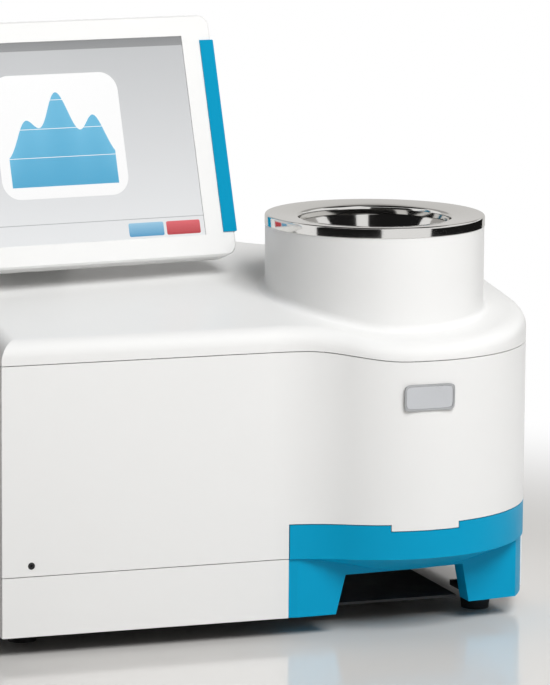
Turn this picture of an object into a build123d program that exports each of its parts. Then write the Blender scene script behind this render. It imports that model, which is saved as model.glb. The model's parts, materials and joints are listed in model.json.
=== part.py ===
"""Bench-top near-infrared spectrometer for whole grain, as an assembly of its separate pieces.

The pieces are drawn in the body's own frame: X from the left wall to the right, Y from the flat front to
the back, Z up from the bench. At the end all are moved together, so that the origin is the bottom centre of
the whole box.
"""
import os
from math import atan2, cos, degrees, pi, radians, sin, sqrt, tan

from build123d import *

# Driving sizes, in millimetres and degrees
ELECTRONICS_W = 243.7   # left wall to the drawer front
SAMPLE_W = 235.8        # drawer front to the right wall
BODY_D = 300.0          # flat front to back
FOOT_H = 16.5           # the feet lift the casing off the bench
WALL = 3.0              # moulded covers and panels
SHEET_T = 2.0           # folded steel inside
SEAM = 0.7              # gap between two covers
FIT = 0.3               # gap between pieces that sit side by side
RUN = 0.05              # radial clearance of a shaft in its bore
OVER = 1.0              # a cut runs past its face by this much

# Bulge of the front, with the hopper tower in it
BULGE_R = 127.5
TOWER_Y = 95.0
BLEND_R = 120.0         # hollow curve between the flat front and the bulge
SHOULDER = 36.0         # ledge between the tower and the outside of the bulge
TOWER_ROOT_R = 6.0

# Covers: heights above the bench, and the seam that dips over the bulge
LOWER_SEAM_Z = 65.7
DRAWER_TOP_Z = 94.0
SEAM_OVER_BEAM = 42.2
DIP = 8.0
DIP_FROM = 97.0         # left of the tower's axis
DIP_TO = 17.0
LIP_H = 18.3            # seam to the top above the flat front
LID_SLOPE = 7.7
LID_EDGE_R = 14.0
LID_REAR_R = 30.0
LUG_W = 10.0
LUG_T = 4.0
LUG_H = 21.3
LUG_PITCH = 98.0

# Vents
SLOT_W = 4.0
SLOT_PITCH = 9.0
SIDE_SLOTS = 12
REAR_SLOTS = 14
SIDE_SLOT_H = 60.0
REAR_SLOT_H = 50.0
LEFT_SLOTS_Y = 70.0
LEFT_SLOTS_Z = 90.0
RIGHT_SLOTS_Z = 120.0
RIGHT_SLOTS_BACK = 150.0
REAR_SLOTS_Z = 60.0
REAR_SLOTS_X = 56.3     # from the drawer's left end

# Hopper rim, funnel and duct
RIM_W = 28.0
RIM_H = 9.0
RIM_PROUD = 0.4
RIM_EDGE_R = 3.6
RIM_DISH = 2.4          # the rim's top falls this much towards the funnel
RIM_NOSE = 3.0
RIM_LIP = 8.0
THROAT_R = 22.0
FUNNEL_H = 63.0
FUNNEL_T = 1.5
FUNNEL_FLANGE = 10.0
SPOUT_H = 14.0
GASKET_H = 3.0
GASKET_W = 6.0
DUCT_H = 33.0
DUCT_WALL = 8.0
DUCT_R = 6.0

# Drawer
DRAWER_BACK_Y = 31.0
DRAWER_WRAP_Y = 56.0    # the right end wraps round the corner to here
LEG_SIDE_INSET = 1.6
FINGER_SLOPE = 24.0     # the lip over the arch, from the level
ARCH_Z = 49.0
LEFT_LEG_W = 49.8
RIGHT_LEG_W = 78.5
LEFT_FLARE = 8.3        # the arch widens towards the floor
RIGHT_FLARE = 6.3
LEG_MID = (103.5, 5.3)  # from the drawer's left end, and from the flat front
LEG_END = (27.5, 18.2)  # these three from the right wall, and from the flat front
LEG_CORNER = (20.0, 24.0)
LEG_SIDE = (16.1, 33.0)
LEG_START_Y = -0.5
TAB_W = 58.7            # tab of the front cover that dips into the drawer front
TAB_SHIFT = 0.85
TAB_DROP = 4.6
BIN_DROP = 26.0         # floor of the bin under the top of the drawer front
BIN_H = 24.0
BIN_REAR = 39.0         # bin to the back of the casing
BIN_WALL = 2.0
BIN_REAR_R = 14.0
BIN_FLOOR_R = 5.0
RAIL_W = 7.0
RAIL_H = 14.0
RAIL_UP = 6.0           # rail over the floor of the bin
RAIL_INSET = 4.0        # rails start behind the wrapped end
RAIL_REAR = 20.0
GROOVE = 4.0
RUNNER_GAP = 6.0        # rail to bin
RUNNER_WEB = 4.0
RUNNER_H = 12.0
RUNNER_HOLD = 35.0      # length still in the rails when the drawer is open
RUNNER_REAR = 16.0
TONGUE_H = 5.4

# Frame and feet
TRAY_T = 2.0
TRAY_SHORT = 75.5       # the floor tray leaves the right of the drawer bay open
TRAY_FLANGE = 9.0
DIVIDER_GAP = 3.3
DIVIDER_FOLD = 12.0
DECK_GAP = 2.0
SILL_W = 12.0
SILL_H = 20.0
SILL_Y = 60.0
SILL_GAP = 1.2
SILL_POST = 14.0
POST_BACK = 50.0        # first post behind the front end of the sill
TONGUE_T = 4.5
FOOT_TOP_R = 13.5
FOOT_BASE_R = 11.5
FOOT_RING = 5.0
FRONT_FOOT_Y = 60.0
REAR_FOOT_BACK = 38.0
LEFT_FOOT_X = 34.0
RIGHT_FOOT_IN = 46.5

# Measuring module, stacked on the deck under the funnel
WHEEL_R = 29.0
WHEEL_GAP = 0.6
WHEEL_L = 46.0
WHEEL_END = 4.5
VANES = 6
VANE_T = 3.0
HUB_R = 9.0
SHAFT_R = 4.0
FEEDER_WALL = 3.4
FEEDER_SIDE = 12.4
FEEDER_CAP_T = 5.0
SPOUT_WALL = 3.0
SPOUT_GAP = 1.0         # spout over the rim of the bin
MOTOR_R = 19.0
MOTOR_L = 44.0
GEARBOX_L = 22.0
SHAFT_IN = 14.0
PATH = 22.0             # optical path through the grain
CELL_W = 36.0
CELL_H = 62.0
CELL_WALL = 22.0        # source side
CHEEK = 11.0
CARRIAGE_L = 46.0
CROSSHEAD_GAP = 6.0
CROSSHEAD_T = 8.0
CROSSHEAD_H = 34.0
PATH_SHORTER = 12.0
PATH_LONGER = 10.0
ROD_R = 3.0
ROD_SEAT = 14.0
ROD_END = 16.0
WINDOW_R = 12.0
WINDOW_T = 2.5
WINDOW_SEAT = 3.0
PLUG_H = 7.0

# Optics on their bench in the left of the body
BEAM_OVER_BENCH = 45.0
BENCH_T = 8.0
BENCH_GAP = 3.0
BENCH_FRONT = 53.0      # these are from the line of the beam
BENCH_BACK = 111.0
POST_R = 5.0
SLIM_POST_R = 3.8
POST_INSET = 7.0
CASE_FRONT = 43.0
CASE_BACK = 95.0
CASE_H = 74.0
CASE_WALL = 4.0
CASE_GAP = 6.0
PORT_R = 8.0
MIRROR_W = 24.0
MIRROR_H = 34.0
MIRROR_T = 5.0
FIRST_MIRROR_IN = 43.0  # from the right end of the case
LAST_MIRROR_IN = 16.0
GRATING_IN = 56.0       # from the left end of the case
GRATING_BACK = 55.0     # from the line of the beam
GRATING_W = 30.0
GRATING_T = 5.0
TABLE_R = 20.0
TABLE_T = 6.0
SCAN_MOTOR_H = 30.0
LAMP_IN = 16.0          # from the left end of the bench
LAMP_L = 40.0
LAMP_D = 50.0
LAMP_UP = 30.0
LAMP_CHAMBER_R = 13.0
LAMP_WALL = 6.0
LAMP_FINS = 6
FIN_PITCH = 6.0
FILTER_R = 24.0
FILTER_T = 3.0
FILTER_HOLE_R = 6.0
FILTERS = 5
FILTER_GAP = 4.0
FILTER_MOTOR_L = 22.0
FILTER_MOTOR_R = 8.5
FILTER_SHAFT_R = 2.0
TUBE_R = 14.0
TUBE_WALL = 3.0
TUBE_FLANGE = 6.0
LENS_IN = 42.0
LENS_T = 5.0
LENS_R = 24.0

# Electronics
STUD_H = 8.5
STUD_R = 4.0
BOARD_T = 1.6
BOARD_L = 200.0
BOARD_REAR = 30.0
BOARD_GAP = 16.0
SUPPLY_X = 20.0
SUPPLY_W = 92.0
SUPPLY_L = 164.0
SUPPLY_H = 44.0
SUPPLY_REAR = 16.0
FAN_LEFT = 57.7         # from the drawer's left end
FAN_Z = 108.0
FAN_W = 60.0
FAN_D = 20.0
FAN_HUB_R = 12.0
FAN_PIN_R = 2.0
FAN_BLADES = 7
BLADE_T = 1.2
BLADE_SWEEP = 38.0
WIRE = 1.6
WIRE_PITCH = 7.0
GUARD_RINGS = 4
INLET_X = 56.0
INLET_Z = 106.0
INLET_W = 28.0
INLET_DEEP = 22.0
INLET_EDGE = 14.0       # socket and rocker are held by this much frame in all
FLANGE_T = 2.0
FLANGE_W = 4.0
SOCKET_W = 22.0
SOCKET_H = 17.0
SOCKET_DEEP = 16.0
ROCKER_W = 13.0
ROCKER_H = 19.0
ROCKER_TILT = 7.0
WELL_DEEP = 12.0
PORT_WIDTHS = (10.0, 10.0, 15.0, 13.0)
PORT_GAP = 5.0
PORT_EDGE = 3.0
PORT_LOW = 5.5          # height of one of two stacked sockets
PORT_HIGH = 12.0
PORT_WEB = 2.0
PORT_DEEP = 11.5

# Badge and screw on the front
BADGE_W = 44.0
BADGE_H = 22.0
BADGE_OVER_BEAM = 4.5
BADGE_T = 1.2
BADGE_RIM = 1.5
BADGE_GLUE = 0.15
SCREW_X = 24.4
SCREW_OVER_SEAM = 8.8
SCREW_R = 3.0
SCREW_SINK = 0.3

# Display
TOWER_TO_SWIVEL = 167.5
SWIVEL_BACK = 75.5
DISPLAY_CLEAR = 8.46    # lower rear edge of the display over the top cover
REACH = 30.0            # the tilt pin lies this far in front of the swivel axis
SWIVEL = 6.73           # stored pose: turned towards the right
TILT = 17.27            # stored pose: leaned back
SCREEN_W = 242.0
SCREEN_H = 170.0
SIDE_BORDER = 27.0
LOWER_BORDER = 18.4
UPPER_BORDER = 17.6
DISP_T = 32.0
DISP_R = 10.0
BEZEL_T = 12.0
BEZEL_EDGE = 1.6
BACK_CHAMFER = 9.0
GLASS_T = 2.0
GLASS_SINK = 0.6
PANEL_T = 7.0
PANEL_SEAT = 4.0
DRIVER_W = 150.0
DRIVER_H = 110.0
DRIVER_GAP = 5.0
PIN_BACK = 14.0         # pin behind the display's back
PIN_UP = 62.0           # pin above its lower edge
PIN_R = 4.0
KNUCKLE_R = 11.0
KNUCKLE_W = 40.0
EAR_W = 9.0
GRIP_W = 11.0
GRIP_WRAP = 21.0
GRIP_PROUD = 2.0
GRIP_BOTTOM = 20.0
GRIP_TOP = 22.0
GRIP_EDGE = 1.6
PEDESTAL_R = 32.0
PEDESTAL_H = 11.15
PEDESTAL_EDGE = 2.0
TURNTABLE_T = 6.0

# What follows from them: plan of the casing
BODY_W = ELECTRONICS_W + SAMPLE_W
BAY_X = ELECTRONICS_W
TOWER_X = BODY_W - BULGE_R
TOWER_R = BULGE_R - SHOULDER
BLEND_X = TOWER_X - sqrt((BULGE_R + BLEND_R) ** 2 - (TOWER_Y + BLEND_R) ** 2)
BLEND_TURN = atan2(TOWER_Y + BLEND_R, TOWER_X - BLEND_X)
ROOM_RIGHT = BODY_W - WALL - FIT
ROOM_BACK = BODY_D - WALL - FIT

# Heights, from the drawer up through the measuring module
FLOOR_Z = FOOT_H + TRAY_T
BIN_Z = DRAWER_TOP_Z - BIN_DROP
RAIL_Z = BIN_Z + RAIL_UP
DECK_Z = DRAWER_TOP_Z + DECK_GAP
FEEDER_Z = DECK_Z + SHEET_T
FEEDER_H = 2 * (WHEEL_R + WHEEL_GAP + FEEDER_WALL)
FEEDER_W = 2 * (WHEEL_R + WHEEL_GAP + FEEDER_SIDE)
FEEDER_D = WHEEL_L + 2 * WHEEL_END + FEEDER_CAP_T
WHEEL_Z = FEEDER_Z + FEEDER_H / 2
CELL_Z = FEEDER_Z + FEEDER_H
DUCT_Z = CELL_Z + CELL_H
THROAT_Z = DUCT_Z + DUCT_H + GASKET_H
TOWER_TOP_Z = THROAT_Z + FUNNEL_H
BEAM_Z = CELL_Z + CELL_H / 2
BENCH_Z = BEAM_Z - BEAM_OVER_BENCH
BENCH_TOP = BENCH_Z + BENCH_T
SEAM_Z = BEAM_Z + SEAM_OVER_BEAM
LID_Z = SEAM_Z + LIP_H
MOUTH_R = TOWER_R - RIM_W

# Drawer bay
DIVIDER_X = BAY_X + DIVIDER_GAP
LEFT_RAIL_X = DIVIDER_X + SHEET_T
BIN_X = LEFT_RAIL_X + RAIL_W + RUNNER_GAP
FOLD_X = ROOM_RIGHT - SILL_W - SILL_GAP - SHEET_T
BIN_RIGHT = FOLD_X - RAIL_W - RUNNER_GAP
DRAWER_WRAP_X = BIN_RIGHT + OVER
BIN_BACK_Y = BODY_D - BIN_REAR
RAIL_Y = DRAWER_WRAP_Y + RAIL_INSET
RUNNER_BACK_Y = BIN_BACK_Y - RUNNER_REAR
DRAWER_TRAVEL = RUNNER_BACK_Y - RAIL_Y - RUNNER_HOLD
TRAY_X = BODY_W - TRAY_SHORT
RIGHT_FOOT_X = BODY_W - RIGHT_FOOT_IN
REAR_FOOT_Y = BODY_D - REAR_FOOT_BACK

# Measuring cell and optics
CELL_LEFT = TOWER_X - PATH / 2
CELL_RIGHT = TOWER_X + PATH / 2
CROSSHEAD_X = CELL_RIGHT + CARRIAGE_L + CROSSHEAD_GAP
CHEEK_END = CROSSHEAD_X - PATH_SHORTER - SHEET_T
BENCH_X = (WALL + BENCH_GAP, BAY_X - BENCH_GAP)
BENCH_Y = (TOWER_Y - BENCH_FRONT, TOWER_Y + BENCH_BACK)
LAMP_X = (BENCH_X[0] + LAMP_IN, BENCH_X[0] + LAMP_IN + LAMP_L)
FILTER_RING_R = FILTER_R - FILTER_HOLE_R - 2
FILTER_X = LAMP_X[1] + 2 * FILTER_GAP + FILTER_MOTOR_L
CASE_X = (FILTER_X + 3 * FILTER_GAP, BAY_X - CASE_GAP)
CASE_Y = (TOWER_Y - CASE_FRONT, TOWER_Y + CASE_BACK)
GRATING_X = CASE_X[0] + GRATING_IN
GRATING_Y = TOWER_Y + GRATING_BACK

# Electronics
SUPPLY_RIGHT = SUPPLY_X + SUPPLY_W
BOARD_X = (SUPPLY_RIGHT + BOARD_GAP, BAY_X - BOARD_GAP + 2)
BOARD_Y = (BODY_D - BOARD_REAR - BOARD_L, BODY_D - BOARD_REAR)
BOARD_Z = FLOOR_Z + STUD_H
BOARD_TOP = BOARD_Z + BOARD_T
POST_X = (WALL + BENCH_GAP + POST_INSET, SUPPLY_RIGHT + BOARD_GAP / 2, BAY_X - BOARD_GAP / 2)
FAN_X = BAY_X - FAN_LEFT
PORTS_X = sum(BOARD_X) / 2
PORTS_W = sum(PORT_WIDTHS) + PORT_GAP * (len(PORT_WIDTHS) - 1) + 2 * PORT_EDGE
PORTS_H = 2 * PORT_LOW + 3 * PORT_WEB
INLET_H = SOCKET_H + ROCKER_H + INLET_EDGE
ROCKER_Z = INLET_Z + INLET_H / 2 - INLET_EDGE / 4 - ROCKER_H / 2
SOCKET_Z = INLET_Z - INLET_H / 2 + INLET_EDGE / 3 + SOCKET_H / 2

# Display
DISP_W = SCREEN_W + 2 * SIDE_BORDER
DISP_H = SCREEN_H + LOWER_BORDER + UPPER_BORDER
SWIVEL_X = TOWER_X - TOWER_R - TOWER_TO_SWIVEL
SWIVEL_Y = BODY_D - SWIVEL_BACK
PEDESTAL_TOP_Z = LID_Z + SWIVEL_Y * tan(radians(LID_SLOPE)) + PEDESTAL_H
EDGE_BACK = REACH + PIN_BACK * cos(radians(TILT)) + PIN_UP * sin(radians(TILT))
EDGE_DROP = PIN_UP * cos(radians(TILT)) - PIN_BACK * sin(radians(TILT))
PIN_Z = LID_Z + (SWIVEL_Y - EDGE_BACK) * tan(radians(LID_SLOPE)) + DISPLAY_CLEAR + EDGE_DROP


def box(x, y, z):
    """A block between two corners given as three ranges."""
    size = (x[1] - x[0], y[1] - y[0], z[1] - z[0])
    return Pos(sum(x) / 2, sum(y) / 2, sum(z) / 2) * Box(*size)


def span(centre, length):
    """The range of a length about a centre."""
    return (centre - length / 2, centre + length / 2)


def past(pair):
    """A range made longer at both ends, for a cut that goes right through."""
    return (pair[0] - OVER, pair[1] + OVER)


def rod_x(x, y, z, r):
    """A round bar along X, over the range x."""
    return Pos(sum(x) / 2, y, z) * Rot(Y=90) * Cylinder(r, x[1] - x[0])


def rod_y(x, y, z, r):
    """A round bar along Y, over the range y."""
    return Pos(x, sum(y) / 2, z) * Rot(X=90) * Cylinder(r, y[1] - y[0])


def rod_z(x, y, z, r):
    """A round bar along Z, over the range z."""
    return Pos(x, y, sum(z) / 2) * Cylinder(r, z[1] - z[0])


def slots(x, y, z, count, pitch, across):
    """A row of cutting blocks for vents, repeated along one axis."""
    step = Vector(*[pitch if axis == across else 0 for axis in "XYZ"])
    return [Pos(step * i) * box(x, y, z) for i in range(count)]


def about(cx, cy, r, start, end):
    """An arc about a centre, between two angles in radians."""
    turns = (start, (start + end) / 2, end)
    return ThreePointArc(*[(cx + r * cos(a), cy + r * sin(a)) for a in turns])


def plan(inset=0.0):
    """The casing seen from above: flat front, hollow blend, round bulge, straight side and back."""
    left, right, front, back = inset, BODY_W - inset, inset, BODY_D - inset
    hollow = about(BLEND_X, -BLEND_R, BLEND_R + inset, pi / 2, BLEND_TURN)
    bulge = about(TOWER_X, TOWER_Y, BULGE_R - inset, BLEND_TURN - pi, 0)
    return make_face([
        Line((left, back), (left, front)), Line((left, front), hollow @ 0), hollow, bulge,
        Line(bulge @ 1, (right, back)), Line((right, back), (left, back)),
    ])


def over_seam(z):
    """The area above the seam line, in X and Z: level, an S-shaped dip over the bulge, level again."""
    ends = (TOWER_X - DIP_FROM, z), (TOWER_X - DIP_TO, z - DIP)
    dip = Spline(*ends, tangents=((1, 0), (1, 0)))
    left, right, top = -BODY_W, 2 * BODY_W, z + BODY_W
    return make_face([
        Line((left, z), dip @ 0), dip, Line(dip @ 1, (right, z - DIP)),
        Line((right, z - DIP), (right, top)), Line((right, top), (left, top)), Line((left, top), (left, z)),
    ])


def above(z, slope=0.0):
    """Everything above a seam at height z over the flat front, rising to the back by a slope."""
    start, rise = -BODY_D / 2, tan(radians(slope))
    profile = Plane(origin=(0, start, 0), x_dir=(1, 0, 0), z_dir=(0, -1, 0)) * over_seam(z + start * rise)
    return extrude(profile, amount=2 * BODY_D * sqrt(1 + rise ** 2), dir=(0, 1, rise))


def housing(inset=0.0):
    """The whole casing as a solid, pulled in by an inset, with its rounded top edges."""
    body = extrude(Pos(0, 0, FOOT_H) * plan(inset), 2 * LID_Z) - above(LID_Z - inset, LID_SLOPE)
    back = BODY_D - inset
    near = 0.01
    rear = [
        e for e in body.edges()
        if min((e @ 0).Y, (e @ 1).Y) > back - near and min((e @ 0).Z, (e @ 1).Z) > FOOT_H + OVER
        and abs((e @ 0).X - (e @ 1).X) > OVER
    ]
    body = fillet(rear, LID_REAR_R - inset)
    rim = []
    for wall in body.faces():
        facing = wall.normal_at(wall.center())
        if abs(facing.Z) > near or facing.Y > 0.9:
            continue
        for e in wall.edges():
            low = max((e @ 0).Z, (e @ 1).Z) < FOOT_H + OVER
            upright = abs((e @ 0).X - (e @ 1).X) + abs((e @ 0).Y - (e @ 1).Y) < near
            if not low and not (upright and (e @ 0).Y < back - OVER):
                rim.append(e)
    return fillet(rim, LID_EDGE_R - inset)


def outer_casing():
    """The casing with the hopper tower, blended into the top at its root."""
    tower = rod_z(TOWER_X, TOWER_Y, (LID_Z - LID_EDGE_R, TOWER_TOP_Z), TOWER_R)
    body = housing() + tower

    def on_tower(e):
        reach = [sqrt(((e @ u).X - TOWER_X) ** 2 + ((e @ u).Y - TOWER_Y) ** 2) for u in (0, 0.5, 1)]
        level = (e @ 0.5).Z < TOWER_TOP_Z - OVER
        around = abs((e @ 0).X - (e @ 1).X) + abs((e @ 0).Y - (e @ 1).Y) > 0.001
        return level and around and all(abs(r - TOWER_R) < 0.001 for r in reach)

    return fillet([e for e in body.edges() if on_tower(e)], TOWER_ROOT_R)


def inner_casing():
    """The hollow inside the covers, open through the tower."""
    bore = rod_z(TOWER_X, TOWER_Y, (LID_Z - LID_EDGE_R, TOWER_TOP_Z + OVER), TOWER_R - WALL)
    return housing(WALL) + bore


CASING = outer_casing()
SHELL = CASING - inner_casing()
ROOM = housing(WALL + FIT)
LOWER = SHELL - above(SEAM_Z - SEAM / 2)
WIDE = (-BODY_W, 2 * BODY_W)
DEEP = (-BODY_D, 2 * BODY_D)
TALL = (0.0, 2 * TOWER_TOP_Z)
REAR_WALL = (BODY_D - WALL - OVER, BODY_D + OVER)
CORNER = LID_EDGE_R + OVER


def top_cover():
    """Sloped top with its lip and tower, in one moulding."""
    return SHELL & above(SEAM_Z + SEAM / 2)


def tab_span(grow=0.0):
    """The width of the front cover's tab."""
    return span(TOWER_X - TAB_SHIFT, TAB_W + 2 * grow)


def front_cover():
    """White front above the drawer and the lower panel, with the tab that dips into the drawer."""
    cover = LOWER & box(WIDE, (-BULGE_R, TOWER_Y - SEAM / 2), (LOWER_SEAM_Z + SEAM / 2, LID_Z))
    cover -= box((-OVER, WALL + SEAM), (WALL, BODY_D), TALL)
    over_drawer = box((BAY_X - SEAM, BODY_W + OVER), DEEP, (FOOT_H, DRAWER_TOP_Z + SEAM))
    tab = box(tab_span(), (-BULGE_R, 0), (DRAWER_TOP_Z - TAB_DROP, DRAWER_TOP_Z + 2 * SEAM))
    cover -= over_drawer - tab
    for i in (0, 1):
        lug_x = span(BLEND_X - LUG_W - i * LUG_PITCH, LUG_W)
        cover += box(lug_x, (WALL, WALL + LUG_T), (SEAM_Z - SEAM - LUG_H, SEAM_Z - SEAM))
    return cover - rod_y(SCREW_X, (-OVER, WALL + OVER), LOWER_SEAM_Z + SCREW_OVER_SEAM, SCREW_R)


def cover_screw():
    """Dark cap screw that holds the foot of the front cover, with a hexagon socket."""
    z = LOWER_SEAM_Z + SCREW_OVER_SEAM
    screw = rod_y(SCREW_X, (SCREW_SINK, 3 * WALL), z, SCREW_R - FIT / 3)
    socket = Plane(origin=(SCREW_X, SCREW_SINK, z), z_dir=(0, 1, 0)) * RegularPolygon(SCREW_R * 0.45, 6)
    return screw - extrude(socket, SCREW_R * 0.7)


def lower_front_panel():
    """Removable white strip along the foot of the front, with a fold at its right end."""
    right = BAY_X - SEAM
    strip = LOWER & box((-OVER, right), (-OVER, WALL), (FOOT_H, LOWER_SEAM_Z - SEAM / 2))
    return strip + box((right - WALL, right), (WALL / 2, 8 * WALL), (FLOOR_Z, LOWER_SEAM_Z - WALL - SEAM))


def left_side_panel():
    """White side with upright vent slots, wrapped round the rear corner."""
    side = LOWER & box((-OVER, CORNER), (WALL + SEAM, BODY_D + OVER), TALL)
    y, z = (LEFT_SLOTS_Y, LEFT_SLOTS_Y + SLOT_W), (LEFT_SLOTS_Z, LEFT_SLOTS_Z + SIDE_SLOT_H)
    return side - slots((-OVER, WALL + OVER), y, z, SIDE_SLOTS, SLOT_PITCH, "Y")


def right_side_panel():
    """White side, reaching forward under the front cover to the end of the drawer front."""
    side = LOWER & box((BODY_W - CORNER, BODY_W + OVER), (TOWER_Y + SEAM / 2, BODY_D + OVER), TALL)
    low_y = (DRAWER_WRAP_Y + SEAM, TOWER_Y + SEAM)
    side += LOWER & box((BODY_W - 2 * CORNER, BODY_W + OVER), low_y, (FOOT_H, DRAWER_TOP_Z))
    front = BODY_D - RIGHT_SLOTS_BACK
    y, z = (front, front + SLOT_W), (RIGHT_SLOTS_Z, RIGHT_SLOTS_Z + SIDE_SLOT_H)
    return side - slots((BODY_W - WALL - OVER, BODY_W + OVER), y, z, SIDE_SLOTS, SLOT_PITCH, "Y")


def rear_panel():
    """White back sheet between the two wrapped sides, cut out for the fan, the mains inlet and the sockets."""
    x = (CORNER + SEAM, BODY_W - CORNER - SEAM)
    back = LOWER & box(x, (BODY_D - LID_EDGE_R, BODY_D + OVER), TALL)
    back -= rod_y(FAN_X, REAR_WALL, FAN_Z, FAN_W / 2 - WALL)
    back -= box(span(INLET_X, INLET_W + 2 * FIT), REAR_WALL, span(INLET_Z, INLET_H + 2 * FIT))
    back -= box(span(PORTS_X, PORTS_W + 2 * FIT), REAR_WALL, (BOARD_TOP - FIT, BOARD_TOP + PORTS_H + FIT))
    start = BAY_X + REAR_SLOTS_X
    z = (REAR_SLOTS_Z, REAR_SLOTS_Z + REAR_SLOT_H)
    return back - slots((start, start + SLOT_W), REAR_WALL, z, REAR_SLOTS, SLOT_PITCH, "X")


def badge_plate():
    """Bare metal plate that follows the bulge, with a raised border."""
    def sector(shrink, corner):
        size = (BADGE_W - 2 * shrink, BADGE_H - 2 * shrink)
        block = box(span(TOWER_X, size[0]), (-BULGE_R, 0), span(BEAM_Z + BADGE_OVER_BEAM, size[1]))
        return fillet(block.edges().filter_by(Axis.Y), corner)

    def ring(low, high):
        height = (FOOT_H, LID_Z)
        return rod_z(TOWER_X, TOWER_Y, height, BULGE_R + high) - rod_z(TOWER_X, TOWER_Y, height, BULGE_R + low)

    plate = ring(BADGE_GLUE, BADGE_T) & sector(0, 2 * BADGE_RIM)
    return plate - (ring(0.6 * BADGE_T, BADGE_T) & sector(BADGE_RIM, BADGE_RIM))


def turned(*lines):
    """A turned piece on the tower's axis, from the outline of its section in X and Z."""
    return Pos(TOWER_X, TOWER_Y, 0) * revolve(Plane.XZ * make_face(lines), Axis.Z)


def hopper_rim():
    """Turned steel ring on the tower: rounded outer edge, dished top, lip inside the tower."""
    z0, z1, dish = TOWER_TOP_Z, TOWER_TOP_Z + RIM_H, TOWER_TOP_Z + RIM_H - RIM_DISH
    outer, lip, e, n = TOWER_R + RIM_PROUD, TOWER_R - WALL - FIT, RIM_EDGE_R, RIM_NOSE
    corner = RadiusArc((outer, z1 - e), (outer - e, z1), -e)
    nose = RadiusArc((MOUTH_R + n, dish), (MOUTH_R, dish - n), -n)
    rest = Polyline(
        nose @ 1, (MOUTH_R, z0), (lip - FUNNEL_T, z0), (lip - FUNNEL_T, z0 - RIM_LIP),
        (lip, z0 - RIM_LIP), (lip, z0), (outer, z0), corner @ 0,
    )
    return turned(corner, Line(corner @ 1, nose @ 0), nose, rest)


def hopper_funnel():
    """Spun steel funnel hung under the rim: flange, cone and short spout."""
    top, neck, t = TOWER_TOP_Z, THROAT_Z + SPOUT_H, FUNNEL_T
    flange_r = MOUTH_R + FUNNEL_FLANGE
    return turned(Polyline(
        (flange_r, top), (MOUTH_R, top), (THROAT_R, neck), (THROAT_R, THROAT_Z), (THROAT_R + t, THROAT_Z),
        (THROAT_R + t, neck - FIT), (MOUTH_R + t, top - t), (flange_r, top - t), (flange_r, top),
    ))


def funnel_gasket():
    """Rubber ring between the spout and the duct."""
    z = (THROAT_Z - GASKET_H, THROAT_Z)
    return rod_z(TOWER_X, TOWER_Y, z, THROAT_R + GASKET_W) - rod_z(TOWER_X, TOWER_Y, z, THROAT_R)


def inlet_duct():
    """Block that narrows the round stream of grain to the flat cell."""
    top, across = THROAT_Z - GASKET_H, 2 * (THROAT_R + DUCT_WALL)
    block = box(span(TOWER_X, across), span(TOWER_Y, across), (DUCT_Z, top))
    block = fillet(block.edges().filter_by(Axis.Z), DUCT_R)
    mouth = Pos(TOWER_X, TOWER_Y, top) * Rectangle(1.55 * THROAT_R, 1.8 * THROAT_R)
    foot = Pos(TOWER_X, TOWER_Y, DUCT_Z) * Rectangle(PATH, CELL_W)
    return block - loft([foot, mouth])


def rod_place(side):
    """Where the carriage rods lie across the cell."""
    return TOWER_Y + side * (CELL_W + CHEEK) / 2


def cell_block():
    """Measuring cell: source wall and two cheeks, open on the side of the sliding detector."""
    x = (CELL_LEFT - CELL_WALL, CHEEK_END)
    cell = box(x, span(TOWER_Y, CELL_W + 2 * CHEEK), (CELL_Z, DUCT_Z))
    cell -= box((CELL_LEFT, CHEEK_END + OVER), span(TOWER_Y, CELL_W), past((CELL_Z, DUCT_Z)))
    cell -= rod_x(past((x[0], CELL_LEFT)), TOWER_Y, BEAM_Z, WINDOW_R - WINDOW_SEAT)
    cell -= rod_x((CELL_LEFT - WINDOW_T, CELL_LEFT + OVER), TOWER_Y, BEAM_Z, WINDOW_R)
    for side in (-1, 1):
        cell -= rod_x((CHEEK_END - ROD_SEAT, CHEEK_END + OVER), rod_place(side), BEAM_Z, ROD_R)
    return cell


def source_window():
    """Round window let into the source wall, flush with the cell."""
    return rod_x((CELL_LEFT - WINDOW_T, CELL_LEFT), TOWER_Y, BEAM_Z, WINDOW_R)


def detector_window():
    """Round window in the face of the detector carriage."""
    return rod_x((CELL_RIGHT, CELL_RIGHT + WINDOW_T), TOWER_Y, BEAM_Z, WINDOW_R)


def carriage_rods():
    """Two ground rods that carry the detector, let into the cheeks of the cell."""
    x = (CHEEK_END - ROD_SEAT, CROSSHEAD_X + CROSSHEAD_T + PATH_LONGER + ROD_END)
    return [rod_x(x, rod_place(side), BEAM_Z, ROD_R) for side in (-1, 1)]


def detector_carriage():
    """Piston that closes the cell, with a crosshead that runs on the rods."""
    end = CROSSHEAD_X + CROSSHEAD_T
    block = box((CELL_RIGHT, CROSSHEAD_X), span(TOWER_Y, CELL_W - 2 * FIT), (CELL_Z + FIT, DUCT_Z - FIT))
    crosshead = box((CROSSHEAD_X, end), span(TOWER_Y, CELL_W + 2 * CHEEK), span(BEAM_Z, CROSSHEAD_H))
    carriage = block + fillet(crosshead.edges().filter_by(Axis.X), CHEEK / 2)
    carriage -= rod_x((CELL_RIGHT - OVER, CELL_RIGHT + WINDOW_T), TOWER_Y, BEAM_Z, WINDOW_R)
    carriage -= rod_x(past((CELL_RIGHT, end)), TOWER_Y, BEAM_Z, WINDOW_R - WINDOW_SEAT)
    for side in (-1, 1):
        carriage -= rod_x(past((CROSSHEAD_X, end)), rod_place(side), BEAM_Z, ROD_R + RUN)
    return carriage


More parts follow.
